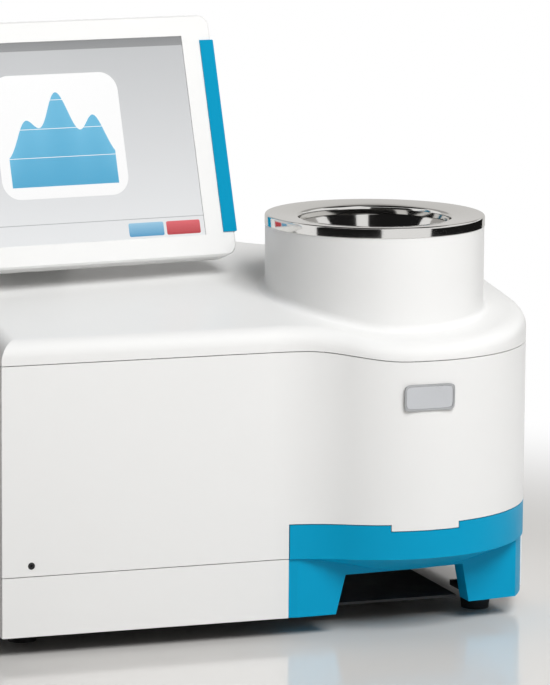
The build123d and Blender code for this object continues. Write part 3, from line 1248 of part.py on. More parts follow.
PARTS = (
    base_tray, right_sill, rubber_feet, bay_divider, deck_plate,
    front_cover, lower_front_panel, left_side_panel, right_side_panel, rear_panel, top_cover,
    cover_screw, badge_plate,
    hopper_rim, hopper_funnel, funnel_gasket, inlet_duct,
    cell_block, source_window, detector_window, carriage_rods, detector_carriage, detector_board,
    feeder_housing, feeder_cap, dosing_wheel, dosing_motor,
    drawer_front, drawer_bin, drawer_rails, drawer_runners,
    optical_bench, bench_posts, lamp_housing, lamp, filter_wheel, filter_motor,
    monochromator_case, grating_mount, grating, grating_motor, beam_tube, beam_lens,
    main_board, power_supply, fan_frame, fan_rotor, fan_guard, power_inlet, power_switch, data_ports,
    display_pedestal, swivel_arm, tilt_pin, display_bezel, display_back, touch_glass, lcd_panel, display_board,
    grip_strips,
)


def solids_of(made):
    """The solids of a piece, whether it came as one shape or as a list."""
    pieces = made if isinstance(made, (list, tuple)) else [made]
    return [solid for piece in pieces for solid in piece.solids()]


PIECES = {make.__name__: solids_of(make()) for make in PARTS}
whole = Compound([solid for solids in PIECES.values() for solid in solids]).bounding_box()
CENTRE = Vector((whole.min.X + whole.max.X) / 2, (whole.min.Y + whole.max.Y) / 2, whole.min.Z)

os.makedirs("parts", exist_ok=True)
for name, solids in PIECES.items():
    export_step(Pos(-CENTRE) * Compound(solids), f"parts/{name}.step")
print("origin of the row in the body's frame:", CENTRE)
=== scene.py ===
# %% [markdown]
# This is a bench-top near-infrared spectrometer for whole grain. Its construction comes from a packed
# model, where each rigid piece already has its place and size, in metres. All of it could be modelled again
# in Blender, but then every fit and joint would have to be found again. So this file loads the pieces and
# gives them their surfaces. Then it turns the polished hopper more finely, draws the display's picture,
# adds a border to the badge and screws to the back, and sets a studio round it all.
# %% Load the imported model
import json

import bpy
import numpy as np
from mathutils import Matrix, Vector


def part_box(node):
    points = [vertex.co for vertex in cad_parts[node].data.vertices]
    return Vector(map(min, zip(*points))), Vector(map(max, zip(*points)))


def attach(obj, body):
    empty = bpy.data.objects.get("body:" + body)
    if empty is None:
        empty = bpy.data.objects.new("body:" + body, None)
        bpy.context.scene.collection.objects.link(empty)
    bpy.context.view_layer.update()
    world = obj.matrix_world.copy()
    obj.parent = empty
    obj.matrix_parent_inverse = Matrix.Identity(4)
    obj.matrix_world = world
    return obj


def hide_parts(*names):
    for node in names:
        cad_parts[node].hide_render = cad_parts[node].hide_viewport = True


MM = 0.001

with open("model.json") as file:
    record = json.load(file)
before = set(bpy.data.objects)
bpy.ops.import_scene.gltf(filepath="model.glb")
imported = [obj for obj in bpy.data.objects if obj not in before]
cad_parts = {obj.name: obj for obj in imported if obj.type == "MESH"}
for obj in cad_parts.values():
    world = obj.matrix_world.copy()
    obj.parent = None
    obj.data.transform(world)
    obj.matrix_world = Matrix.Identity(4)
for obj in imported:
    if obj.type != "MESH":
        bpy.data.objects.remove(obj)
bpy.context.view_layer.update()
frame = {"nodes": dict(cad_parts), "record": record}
NODES = frame["nodes"]

# %% [markdown]
# The camera comes first, because it decides which details matter. It stands to the left of the front and a
# little above, far away behind a long lens, so the verticals stay nearly parallel. A camera looks along its
# own -Z axis. It could be aimed with a constraint, but three plain turns say more: its compass heading, how
# far it looks down, and a small roll.
# %% Camera
CAMERA_AT = (-1.19874, -3.48430, 0.83654)
CAMERA_HEADING = 19.9452
CAMERA_DROP = 9.4162
CAMERA_ROLL = 0.4294
CAMERA_LENS = 234.94


def camera_turn(heading, drop, roll):
    """The three axes of a camera as a matrix: right, up and backwards, from its compass and tilt angles."""
    a, e, t = np.radians((heading, -drop, roll))
    ahead = np.array((np.sin(a) * np.cos(e), np.cos(a) * np.cos(e), np.sin(e)))
    level = np.cross(ahead, (0, 0, 1))
    level /= np.linalg.norm(level)
    upright = np.cross(level, ahead)
    right = level * np.cos(t) + upright * np.sin(t)
    up = upright * np.cos(t) - level * np.sin(t)
    return np.stack((right, up, -ahead), axis=1)


def placed(axes, place):
    """A matrix whose first three columns are three axes, and whose last column is a place."""
    matrix = np.eye(4)
    matrix[:3, :3] = axes
    matrix[:3, 3] = place
    return Matrix(matrix.tolist())


lens = bpy.data.cameras.new("camera")
lens.lens = CAMERA_LENS
camera = bpy.data.objects.new("camera", lens)
camera.matrix_world = placed(camera_turn(CAMERA_HEADING, CAMERA_DROP, CAMERA_ROLL), CAMERA_AT)
bpy.context.scene.collection.objects.link(camera)
bpy.context.scene.camera = camera
bpy.context.scene.view_settings.view_transform = "Standard"
print("camera lens", lens.lens)

# %% [markdown]
# Every new piece below is a grid of points that numpy works out. Two helpers serve a turned ring, a card of
# light and a screw head alike: one joins the neighbours in a grid into quads, and closes the grid where
# asked, and the other makes an object of them. Modifiers could do some of this, but a formula stays
# readable and always gives the same points.
# %% A mesh from a grid of points
SHARP_ANGLE = np.radians(38)


def grid_faces(rows, columns, wrap_rows=False, wrap_columns=False):
    """Quads between neighbours of a rows by columns grid, as an array of four corner numbers each."""
    r = np.arange(rows if wrap_rows else rows - 1)
    c = np.arange(columns if wrap_columns else columns - 1)
    r, c = np.meshgrid(r, c, indexing="ij")
    r_next = (r + 1) % rows
    c_next = (c + 1) % columns
    corners = (r * columns + c, r * columns + c_next, r_next * columns + c_next, r_next * columns + c)
    return np.stack(corners, axis=-1).reshape(-1, 4)


def new_piece(name, points, faces, smooth=True):
    """An object at the origin, with its place in its mesh; creases sharper than a set angle stay sharp."""
    mesh = bpy.data.meshes.new(name)
    mesh.from_pydata(np.asarray(points).reshape(-1, 3).tolist(), [], faces.tolist())
    mesh.validate()
    if smooth:
        mesh.shade_smooth()
        mesh.set_sharp_from_angle(angle=SHARP_ANGLE)
    piece = bpy.data.objects.new(name, mesh)
    bpy.context.scene.collection.objects.link(piece)
    return piece


print("a 3 by 4 grid has", len(grid_faces(3, 4)), "quads")

# %% [markdown]
# Materials are built from nodes. In the node editor that is done by hand; in a script, a helper that makes
# a node and sets its values, and another that draws links, keep each recipe short enough to read.
# %% Helpers for nodes


def add_node(tree, kind, inputs=None, **settings):
    """A node of one kind. Settings are the node's own, and inputs are values by a socket's name or number."""
    node = tree.nodes.new(kind)
    for key, value in settings.items():
        setattr(node, key, value)
    for key, value in (inputs or {}).items():
        node.inputs[key].default_value = value
    return node


def wire(tree, *pairs):
    """Links, each given as an output and the input that it feeds."""
    for source, target in pairs:
        tree.links.new(source, target)


def new_group(name, takes, gives):
    """An empty shader group with number inputs and outputs, and its two end nodes."""
    tree = bpy.data.node_groups.new(name, "ShaderNodeTree")
    for title, value in takes.items():
        socket = tree.interface.new_socket(name=title, in_out="INPUT", socket_type="NodeSocketFloat")
        socket.default_value = value
    for title in gives:
        tree.interface.new_socket(name=title, in_out="OUTPUT", socket_type="NodeSocketFloat")
    return tree, tree.nodes.new("NodeGroupInput"), tree.nodes.new("NodeGroupOutput")


def noise(tree, coords, scale, detail=2.0):
    """A noise texture on given coordinates; scale is a number or a socket."""
    node = add_node(tree, "ShaderNodeTexNoise", {"Detail": detail})
    if isinstance(scale, (int, float)):
        node.inputs["Scale"].default_value = scale
    else:
        tree.links.new(scale, node.inputs["Scale"])
    tree.links.new(coords, node.inputs["Vector"])
    return node.outputs["Fac"]


print("helpers for nodes are ready")

# %% [markdown]
# Moulded plastic and powder coat are never quite even. Their skin has a fine grain, and their colour drifts
# a little in large soft clouds. Many finishes here share this, so it is a node group, built once and placed
# in each with its own grain. It only puts out a height and a mask, and the shader stays in the material.
# %% Group: mould grain
GRAINS_PER_METRE = 900.0
GRAIN_DETAIL = 3.0
CLOUDS_PER_METRE = 9.0

grain_group, taken, given = new_group(
    "mould grain", {"Grains per metre": GRAINS_PER_METRE}, ["Height", "Cloud"])
coords = add_node(grain_group, "ShaderNodeTexCoord").outputs["Object"]
grain = noise(grain_group, coords, taken.outputs["Grains per metre"], GRAIN_DETAIL)
cloud = noise(grain_group, coords, CLOUDS_PER_METRE)
wire(grain_group, (grain, given.inputs["Height"]), (cloud, given.inputs["Cloud"]))
print("grain group puts out", [socket.name for socket in given.inputs if socket.name])

# %% [markdown]
# Hands and cleaning leave a surface glossier in some places than in others. A reflection shows this before
# anything else does, so a second group spreads a patchy noise between the lowest and the highest roughness
# of a finish. An even roughness would be simpler, but it looks like no real thing.
# %% Group: handling
PATCHES_PER_METRE = 26.0
PATCH_DETAIL = 4.0
NOISE_LOW = 0.35
NOISE_HIGH = 0.65

handling_group, taken, given = new_group(
    "handling", {"Low": 0.3, "High": 0.4, "Patches per metre": PATCHES_PER_METRE}, ["Roughness"])
coords = add_node(handling_group, "ShaderNodeTexCoord").outputs["Object"]
patches = noise(handling_group, coords, taken.outputs["Patches per metre"], PATCH_DETAIL)
spread = add_node(handling_group, "ShaderNodeMapRange", {"From Min": NOISE_LOW, "From Max": NOISE_HIGH})
wire(handling_group,
     (patches, spread.inputs["Value"]),
     (taken.outputs["Low"], spread.inputs["To Min"]),
     (taken.outputs["High"], spread.inputs["To Max"]),
     (spread.outputs["Result"], given.inputs["Roughness"]))
print("handling group takes", [socket.name for socket in taken.outputs if socket.name])

# %% [markdown]
# Rolled or brushed metal has fine lines in one direction. A noise that is squeezed along X draws them: the
# smaller the factor, the longer the lines. An image of brushed metal would show its edges and repeat.
# %% Group: drawn lines
LINES_PER_METRE = 1400.0
LINE_SQUEEZE = 0.02

lines_group, taken, given = new_group(
    "drawn lines", {"Lines per metre": LINES_PER_METRE, "Length": LINE_SQUEEZE}, ["Height"])
coords = add_node(lines_group, "ShaderNodeTexCoord").outputs["Object"]
stretch = add_node(lines_group, "ShaderNodeVectorMath", operation="MULTIPLY")
factors = add_node(lines_group, "ShaderNodeCombineXYZ", {"Y": 1.0, "Z": 1.0})
wire(lines_group,
     (taken.outputs["Length"], factors.inputs["X"]),
     (coords, stretch.inputs[0]),
     (factors.outputs[0], stretch.inputs[1]),
     (noise(lines_group, stretch.outputs[0], taken.outputs["Lines per metre"]), given.inputs["Height"]))
print("groups", [group.name for group in bpy.data.node_groups])

# %% [markdown]
# Each finish of the real instrument becomes one material. What is the same all over a piece is set on the
# shader itself. What changes comes from the groups: a cloudy mix of two close colours, the roughness that
# handling leaves, and a height for the bump. Moulded and coated finishes take the grain as their height,
# metals take the drawn lines, and clear glass has no bump at all.
# %% One recipe for all finishes
BUMP_DISTANCE = 0.1 * MM


def put_group(tree, group, **values):
    """A group placed in a material with its own values; an underscore in a name stands for a space."""
    inputs = {key.replace("_", " "): value for key, value in values.items()}
    return add_node(tree, "ShaderNodeGroup", inputs, node_tree=group)


def finish(name, colour, rough, grain=None, lines=None, depth=0.02, shade=0.97, metallic=0.0,
           glass=0.0, glow=0.0, specular=0.5):
    """A material: a colour that drifts to a shade of itself, a lowest and highest roughness, and a bump."""
    material = bpy.data.materials.new(name)
    material.use_nodes = True
    tree = material.node_tree
    shader = tree.nodes["Principled BSDF"]
    shader.inputs["Metallic"].default_value = metallic
    shader.inputs["Transmission Weight"].default_value = glass
    shader.inputs["Specular IOR Level"].default_value = specular
    shader.inputs["Emission Strength"].default_value = glow
    shader.inputs["Emission Color"].default_value = (*colour, 1)
    clouds = put_group(tree, grain_group, Grains_per_metre=grain or GRAINS_PER_METRE)
    shaded = tuple(c * shade for c in colour)
    mix = add_node(tree, "ShaderNodeMix", {"A": (*colour, 1), "B": (*shaded, 1)}, data_type="RGBA")
    handled = put_group(tree, handling_group, Low=rough[0], High=rough[1])
    wire(tree,
         (clouds.outputs["Cloud"], mix.inputs["Factor"]),
         (mix.outputs["Result"], shader.inputs["Base Color"]),
         (handled.outputs["Roughness"], shader.inputs["Roughness"]))
    if grain or lines:
        source = clouds if grain else put_group(tree, lines_group, Lines_per_metre=lines)
        bump = add_node(tree, "ShaderNodeBump", {"Strength": depth, "Distance": BUMP_DISTANCE})
        wire(tree,
             (source.outputs["Height"], bump.inputs["Height"]),
             (bump.outputs["Normal"], shader.inputs["Normal"]))
    return material


print("bump distance", BUMP_DISTANCE, "m")

# %% [markdown]
# The casing, the drawer and the grips are moulded or painted, and so are the small plastic parts inside.
# They differ in colour, in gloss and in the size of their grain. The two blues reflect little of the white
# room, which would wash them out, so their specular level is low.
# %% Plastics, paints and rubbers
PLASTICS = {
    "casing_white": finish("casing white", (0.84, 0.84, 0.832), (0.33, 0.39), grain=1500, depth=0.10,
                           shade=0.985),
    "panel_white": finish("panel white", (0.82, 0.822, 0.818), (0.38, 0.46), grain=1100, depth=0.16,
                          shade=0.985),
    "drawer_blue": finish("drawer blue", (0.0, 0.33, 0.57), (0.34, 0.42), grain=1500, depth=0.10,
                          shade=0.95, specular=0.12),
    "grip_blue": finish("grip blue", (0.0, 0.29, 0.50), (0.36, 0.44), grain=1500, depth=0.12,
                        shade=0.96, specular=0.15),
    "black_steel": finish("black powder coat", (0.018, 0.018, 0.019), (0.5, 0.62), grain=1300, depth=0.3,
                          shade=0.8),
    "foot_rubber": finish("foot rubber", (0.016, 0.016, 0.017), (0.62, 0.8), grain=700, depth=0.4,
                          shade=0.7),
    "seal_rubber": finish("seal rubber", (0.04, 0.04, 0.042), (0.6, 0.75), grain=900, depth=0.3,
                          shade=0.8),
    "wheel_rubber": finish("wheel rubber", (0.2, 0.2, 0.2), (0.6, 0.75), grain=900, depth=0.3),
    "grey_plastic": finish("grey plastic", (0.28, 0.29, 0.30), (0.4, 0.5), grain=1200, depth=0.2),
    "black_plastic": finish("black plastic", (0.02, 0.02, 0.022), (0.36, 0.46), grain=1400, depth=0.2,
                            shade=0.8),
    "bin_plastic": finish("bin plastic", (0.62, 0.65, 0.67), (0.24, 0.34), grain=1600, depth=0.1),
    "circuit_board": finish("solder mask", (0.01, 0.13, 0.05), (0.26, 0.36), grain=2500, depth=0.25,
                            shade=0.8),
}
print("plastics", len(PLASTICS))

# %% [markdown]
# A metal has no colour of its own under its reflection: its base colour tints what it mirrors. The hopper
# is polished nearly to a mirror, the sheet and the screws are duller, and the anodised optics are black.
# %% Metals
METALS = {
    "polished_steel": finish("polished steel", (0.70, 0.69, 0.67), (0.07, 0.10), lines=2500, depth=0.008,
                             metallic=1.0),
    "plain_steel": finish("zinc plated steel", (0.50, 0.51, 0.52), (0.28, 0.42), lines=1400, depth=0.15,
                          metallic=1.0),
    "machined_aluminium": finish("machined aluminium", (0.62, 0.63, 0.65), (0.25, 0.36), lines=900,
                                 depth=0.2, metallic=1.0),
    "badge_metal": finish("badge metal", (0.60, 0.61, 0.63), (0.2, 0.28), lines=2200, depth=0.12,
                          metallic=1.0),
    "mirror_coating": finish("mirror coating", (0.88, 0.86, 0.78), (0.02, 0.04), lines=6000, depth=0.05,
                             metallic=1.0),
    "black_anodised": finish("black anodising", (0.02, 0.02, 0.023), (0.34, 0.44), grain=2200,
                             depth=0.25, shade=0.8),
}
print("metals", len(METALS))

# %% [markdown]
# Glass lets light through and still mirrors the room, so it only needs a full transmission and a low
# roughness. The panel behind the touch glass glows a little, as a lit display does.
# %% Glass and the lit panel
CLEAR = {
    "optical_glass": finish("optical glass", (0.95, 0.97, 0.98), (0.0, 0.02), glass=1.0),
    "screen_glass": finish("touch glass", (1.0, 1.0, 1.0), (0.03, 0.06), glass=1.0),
    "lamp_glass": finish("lamp glass", (0.96, 0.94, 0.9), (0.02, 0.06), glass=0.8),
    "panel_back": finish("display panel", (0.6, 0.61, 0.62), (0.3, 0.4), grain=1800, depth=0.05, glow=0.3),
}
FINISHES = {**PLASTICS, **METALS, **CLEAR}
print("finishes", len(FINISHES))

# %% [markdown]
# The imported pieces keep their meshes, since those carry the sizes of the design. Only the material in each
# piece's slot is exchanged, and the record says which finish that is.
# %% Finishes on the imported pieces
SLOTS = {row["node"]: row["material_slot"] for row in frame["record"]["subparts"]}
for name, piece in NODES.items():
    piece.data.materials.clear()
    piece.data.materials.append(FINISHES[SLOTS[name]])
print("dressed", len(SLOTS), "nodes with", len(set(SLOTS.values())), "finishes")

# %% [markdown]
# The hopper is spun and turned steel, and the eye reads its roundness from what it mirrors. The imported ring
# is a little too coarse for that. A subdivision would soften its crisp edges, so its section is turned
# again with many more steps. The section is a closed outline of radius and height. Its corners are bent,
# and it is carried round the axis: x = r cos(t), y = r sin(t).
# %% A turned piece
TURN_STEPS = 256
BEND_STEPS = 7


def bend(corner, before, after, radius):
    """Points round a corner of an outline: a quadratic curve that starts and ends one radius away from it."""
    corner, before, after = (np.array(p, float) for p in (corner, before, after))
    start = corner + (before - corner) * radius / np.linalg.norm(before - corner)
    end = corner + (after - corner) * radius / np.linalg.norm(after - corner)
    t = np.linspace(0, 1, BEND_STEPS)[:, None]
    return (1 - t) ** 2 * start + 2 * t * (1 - t) * corner + t ** 2 * end


def rounded_outline(*corners):
    """A closed outline from corners of radius, height and bend, where a bend of 0 leaves the corner sharp."""
    points = [corner[:2] for corner in corners]
    parts = []
    for i, (r, z, radius) in enumerate(corners):
        before = points[i - 1]
        after = points[(i + 1) % len(points)]
        parts.append(bend((r, z), before, after, radius) if radius else np.array([(r, z)], float))
    return np.concatenate(parts)


def turned(name, outline, centre):
    """A closed outline of radius and height carried round an upright axis."""
    t = np.linspace(0, 2 * np.pi, TURN_STEPS, endpoint=False)
    r, z = outline[:, 0], outline[:, 1]
    x = centre[0] + np.outer(r, np.cos(t))
    y = centre[1] + np.outer(r, np.sin(t))
    points = np.stack((x, y, np.repeat(z[:, None], TURN_STEPS, axis=1)), axis=-1)
    return new_piece(name, points, grid_faces(len(outline), TURN_STEPS, True, True))


print("a bent corner has", BEND_STEPS, "points")

# %% [markdown]
# The rim sits on the tower like a lid on a jar. Its top falls a little towards the mouth, so that grain
# rolls in, its outer edge is only broken, and a lip below holds it in the tower. Its sizes come from the
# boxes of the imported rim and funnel.
# %% The rim
STEEL_T = 1.5 * MM
FLANGE_W = 10 * MM
LIP_INSET = 3.7 * MM
RIM_DISH = 2.4 * MM
RIM_FOOT_BEND = 0.4 * MM
RIM_EDGE_BEND = 2.4 * MM
RIM_NOSE_BEND = 3.0 * MM

RIM_LOW, RIM_HIGH = (np.array(v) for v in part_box("hopper_rim"))
FUNNEL_LOW, FUNNEL_HIGH = (np.array(v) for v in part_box("hopper_funnel"))
TOWER_AT = (RIM_LOW + RIM_HIGH)[:2] / 2
TOWER_TOP = FUNNEL_HIGH[2]
RIM_R = (RIM_HIGH - RIM_LOW)[0] / 2
FLANGE_R = (FUNNEL_HIGH - FUNNEL_LOW)[0] / 2
MOUTH_R = FLANGE_R - FLANGE_W
LIP_R = RIM_R - LIP_INSET

rim = turned("turned_rim", rounded_outline(
    (RIM_R, TOWER_TOP, RIM_FOOT_BEND),
    (RIM_R, RIM_HIGH[2], RIM_EDGE_BEND),
    (MOUTH_R, RIM_HIGH[2] - RIM_DISH, RIM_NOSE_BEND),
    (MOUTH_R, TOWER_TOP, 0),
    (LIP_R - STEEL_T, TOWER_TOP, 0),
    (LIP_R - STEEL_T, RIM_LOW[2], 0),
    (LIP_R, RIM_LOW[2], 0),
    (LIP_R, TOWER_TOP, 0)), TOWER_AT)
print("rim radius", round(RIM_R, 4), "mouth radius", round(MOUTH_R, 4))

# %% [markdown]
# The funnel is spun from one round sheet, so its wall has one thickness all the way: a flange under the
# rim, a cone, and a short spout. A cone primitive would leave a hard line where the cone meets the spout.
# The spinning tool leaves a soft one.
# %% The funnel
THROAT_R = 22 * MM
SPOUT_H = 14 * MM
MOUTH_BEND = 1.5 * MM
NECK_BEND = 9 * MM
NECK_DROP = 0.3 * MM

neck = FUNNEL_LOW[2] + SPOUT_H
funnel = turned("spun_funnel", rounded_outline(
    (FLANGE_R, TOWER_TOP, 0),
    (MOUTH_R, TOWER_TOP, MOUTH_BEND),
    (THROAT_R, neck, NECK_BEND),
    (THROAT_R, FUNNEL_LOW[2], 0),
    (THROAT_R + STEEL_T, FUNNEL_LOW[2], 0),
    (THROAT_R + STEEL_T, neck - NECK_DROP, NECK_BEND),
    (MOUTH_R + STEEL_T, TOWER_TOP - STEEL_T, MOUTH_BEND),
    (FLANGE_R, TOWER_TOP - STEEL_T, 0)), TOWER_AT)
for piece, node in ((rim, "hopper_rim"), (funnel, "hopper_funnel")):
    piece.data.materials.append(FINISHES["polished_steel"])
    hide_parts(node)
    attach(piece, "chassis")
print("rim has", len(rim.data.polygons), "faces and the funnel", len(funnel.data.polygons))

# %% [markdown]
# The display is tilted and turned, so its picture needs a ruler of its own. The three directions of a flat
# plate lie in its own points: they spread most along its width, less along its height and least through it.
# Angles could be copied from the design, but the glass already knows where it is. The badge is measured in
# the same way later.
# %% A ruler on a plate


def own_directions(node):
    """The middle of a plate, its own directions (across, up, out of its face) and its size along each."""
    points = np.array([v.co for v in NODES[node].data.vertices])
    spread = np.linalg.svd(points - points.mean(0), full_matrices=False)[2]
    across = spread[0] * np.sign(spread[0][0])
    up = spread[1] * np.sign(spread[1][2])
    ways = np.stack((across, up, np.cross(across, up)))
    along = points @ ways.T
    middle = (along.max(0) + along.min(0)) / 2 @ ways
    return middle, ways, np.ptp(along, axis=0)


GLASS_AT, (ACROSS, UP, OUT), (SCREEN_W, SCREEN_H, GLASS_T) = own_directions("touch_glass")
print("screen", round(SCREEN_W, 4), round(SCREEN_H, 4), "glass", round(GLASS_T, 4))

# %% [markdown]
# A screen gives light, so its picture is made of thin sheets that glow with a strength of 1, at which a
# colour shows as it is written. They lie in numbered layers just inside the back of the glass, a hair
# apart, so that none flickers through another. A gradient follows the sheet's own UV map, and that comes
# from the same grid as its points.
# %% Glowing sheets
SCREEN_GLOW = 1.0
SHEET_STEP = 0.08 * MM
SHEET_BASE = (0.02, 0.02, 0.02, 1)
SHEET_ROUGHNESS = 0.4


def glowing(name, low, high):
    """A sheet of light that changes from one colour at its foot to another at its head, by the UV map."""
    material = bpy.data.materials.new(name)
    material.use_nodes = True
    tree = material.node_tree
    shader = tree.nodes["Principled BSDF"]
    shader.inputs["Base Color"].default_value = SHEET_BASE
    shader.inputs["Roughness"].default_value = SHEET_ROUGHNESS
    shader.inputs["Specular IOR Level"].default_value = 0.0
    shader.inputs["Emission Strength"].default_value = SCREEN_GLOW
    split = add_node(tree, "ShaderNodeSeparateXYZ")
    mix = add_node(tree, "ShaderNodeMix", {"A": (*low, 1), "B": (*high, 1)}, data_type="RGBA")
    wire(tree,
         (add_node(tree, "ShaderNodeUVMap").outputs["UV"], split.inputs[0]),
         (split.outputs["Y"], mix.inputs["Factor"]),
         (mix.outputs["Result"], shader.inputs["Emission Color"]))
    return material


def on_screen(u, v, layer):
    """Places across and up from the screen's middle, in a numbered layer inside the glass's back."""
    depth = -GLASS_T / 2 + SHEET_STEP * (1 + layer)
    u, v = np.broadcast_arrays(u, v)
    return GLASS_AT + u[..., None] * ACROSS + v[..., None] * UP + depth * OUT


def sheet_on_screen(name, u, v, layer, material):
    """A grid of places on the screen as a thin sheet, with a UV map that runs 0 to 1 along both its ways."""
    rows, columns = u.shape
    piece = new_piece(name, on_screen(u, v, layer), grid_faces(rows, columns), smooth=False)
    along_v, along_u = np.meshgrid(np.linspace(0, 1, rows), np.linspace(0, 1, columns), indexing="ij")
    places = np.stack((along_u, along_v), axis=-1).reshape(-1, 2)
    corner = np.empty(len(piece.data.loops), dtype=np.int32)
    piece.data.loops.foreach_get("vertex_index", corner)
    sheet_map = piece.data.uv_layers.new(name="sheet")
    sheet_map.data.foreach_set("uv", places[corner].astype(np.float32).ravel())
    piece.data.materials.append(material)
    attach(piece, "display")


print("sheets lie", SHEET_STEP / MM, "mm apart")

# %% [markdown]
# The menu has a pale field that grows lighter downwards, a grey bar along its top edge, and a white card
# with round corners. A plain sheet needs four points. The card is a ladder of rows: near a corner each row
# is shortened by the corner's circle.
# %% Field, bar and card
BAR_H = 7.5 * MM
CARD_DOWN = 79.5 * MM
CARD_SIZE = (114 * MM, 104 * MM)
CARD_CORNER = 16 * MM


def plain_card(u, v):
    """A rectangle between two values across and two values up."""
    return np.array([[u[0], u[1]], [u[0], u[1]]]), np.array([[v[0], v[0]], [v[1], v[1]]])


def rounded_card(centre, size, radius, count=48):
    """Rows from the foot to the head of a card; near a corner a row is shorter by the corner's circle."""
    v = -np.cos(np.linspace(0, np.pi, count)) * size[1] / 2
    past = np.clip(np.abs(v) - (size[1] / 2 - radius), 0, radius)
    half = size[0] / 2 - radius + np.sqrt(radius ** 2 - past ** 2)
    u = centre[0] + half[:, None] * np.array((-1.0, 1.0))
    return u, np.broadcast_to((centre[1] + v)[:, None], u.shape)


half_w = SCREEN_W / 2
half_h = SCREEN_H / 2
CARD_AT = (0.0, half_h - CARD_DOWN)
field_grey = glowing("screen field", (0.80, 0.81, 0.82), (0.55, 0.56, 0.57))
bar_grey = glowing("screen bar", (0.30, 0.305, 0.31), (0.25, 0.255, 0.26))
card_white = glowing("card white", (0.95, 0.95, 0.95), (0.98, 0.98, 0.98))
sheet_on_screen("screen_field", *plain_card((-half_w, half_w), (-half_h, half_h - BAR_H)), 0, field_grey)
sheet_on_screen("screen_bar", *plain_card((-half_w, half_w), (half_h - BAR_H, half_h)), 0, bar_grey)
sheet_on_screen("screen_card", *rounded_card(CARD_AT, CARD_SIZE, CARD_CORNER), 1, card_white)
print("card", CARD_SIZE)

# %% [markdown]
# The card shows a spectrum, which is what such an instrument measures: three smooth humps over a foot, each
# a bell curve h exp(-((x - c) / w)^2), filled down to the axis, with three thin rules across. Two rows of
# points are enough for it, one along the axis and one along the curve.
# %% The curve on the card
CURVE_W = 96 * MM
CURVE_H = 80 * MM
CURVE_UP = 10 * MM
CURVE_STEPS = 120
CURVE_FOOT = 0.26
HUMPS = ((0.19, 0.13, 0.42), (0.50, 0.16, 0.72), (0.83, 0.13, 0.46))
RULES = (0.3, 0.6, 0.9)
RULE_T = 0.5 * MM

curve_blue = glowing("curve blue", (0.06, 0.38, 0.62), (0.14, 0.50, 0.74))
axis_v = CARD_AT[1] - CARD_SIZE[1] / 2 + CURVE_UP
x = np.linspace(0, 1, CURVE_STEPS)
height = CURVE_FOOT + sum(h * np.exp(-((x - c) / w) ** 2) for c, w, h in HUMPS)
curve_u = np.stack([CARD_AT[0] + (x - 0.5) * CURVE_W] * 2)
curve_v = np.stack((np.full_like(height, axis_v), axis_v + height * CURVE_H))
sheet_on_screen("spectrum_curve", curve_u, curve_v, 2, curve_blue)
for i, share in enumerate(RULES):
    level = axis_v + share * CURVE_H
    ends = (CARD_AT[0] - CURVE_W / 2, CARD_AT[0] + CURVE_W / 2)
    sheet_on_screen(f"card_rule_{i + 1}", *plain_card(ends, (level, level + RULE_T)), 3, card_white)
print("curve with", len(HUMPS), "humps")

# %% [markdown]
# Two blank buttons, a blue one and a red one, close the menu at the lower right, under a thin grey line.
# Each gets lighter towards its head, which makes it look slightly raised.
# %% Buttons
BUTTON_H = 11.5 * MM
BUTTON_GAP = 2.2 * MM
BUTTON_CORNER = 1.5 * MM
BUTTON_ROWS = 24
LINE_UP = 3 * MM
LINE_T = 0.6 * MM
LINE_GREY = (0.42, 0.43, 0.44)

button_blue = glowing("button blue", (0.02, 0.26, 0.50), (0.35, 0.62, 0.80))
button_red = glowing("button red", (0.42, 0.01, 0.02), (0.78, 0.14, 0.16))
line_grey = glowing("line grey", LINE_GREY, LINE_GREY)
BUTTONS = (("blue_button", 67.5 * MM, 32 * MM, button_blue), ("red_button", 101.5 * MM, 31 * MM, button_red))
button_v = -half_h + BUTTON_GAP + BUTTON_H / 2
for name, u, width, material in BUTTONS:
    card = rounded_card((u, button_v), (width, BUTTON_H), BUTTON_CORNER, BUTTON_ROWS)
    sheet_on_screen(name, *card, 2, material)
line_v = button_v + BUTTON_H / 2 + LINE_UP
sheet_on_screen("menu_rule", *plain_card((-half_w, half_w), (line_v, line_v + LINE_T)), 1, line_grey)
print("buttons", [button[0] for button in BUTTONS])

# %% [markdown]
# The badge is a bare metal plate with a raised border. The border is one closed ring: a rounded rectangle,
# carried through a small round section, so that each point of the section moves the outline in or out and
# up or down. A superellipse |x/a|^n + |y/b|^n = 1 gives the rounded rectangle in one formula. The face is
# the same outline drawn in to the middle, a little lower, so it looks pressed.
# %% The badge's border and face
BORDER_W = 1.9 * MM
BORDER_H = 0.5 * MM
ROUNDNESS = 8
OUTLINE_STEPS = 192
SECTION_STEPS = 16
FACE_RINGS = 6
FACE_DROP = 1.1 * BORDER_H

badge_at, badge_ways, badge_size = own_directions("badge_plate")
half_across = badge_size[0] / 2 - BORDER_W / 2
half_up = badge_size[1] / 2 - BORDER_W / 2
face_lift = badge_size[2] / 2
t = np.linspace(0, 2 * np.pi, OUTLINE_STEPS, endpoint=False)
edge_u = half_across * np.sign(np.cos(t)) * np.abs(np.cos(t)) ** (2 / ROUNDNESS)
edge_v = half_up * np.sign(np.sin(t)) * np.abs(np.sin(t)) ** (2 / ROUNDNESS)


def badge_points(swell, lift):
    """The badge's outline moved outwards by a swell and set at a height above the middle of the plate."""
    moved = np.broadcast_arrays(edge_u * (1 + swell / half_across), edge_v * (1 + swell / half_up), lift)
    return badge_at + np.stack(moved, axis=-1) @ badge_ways


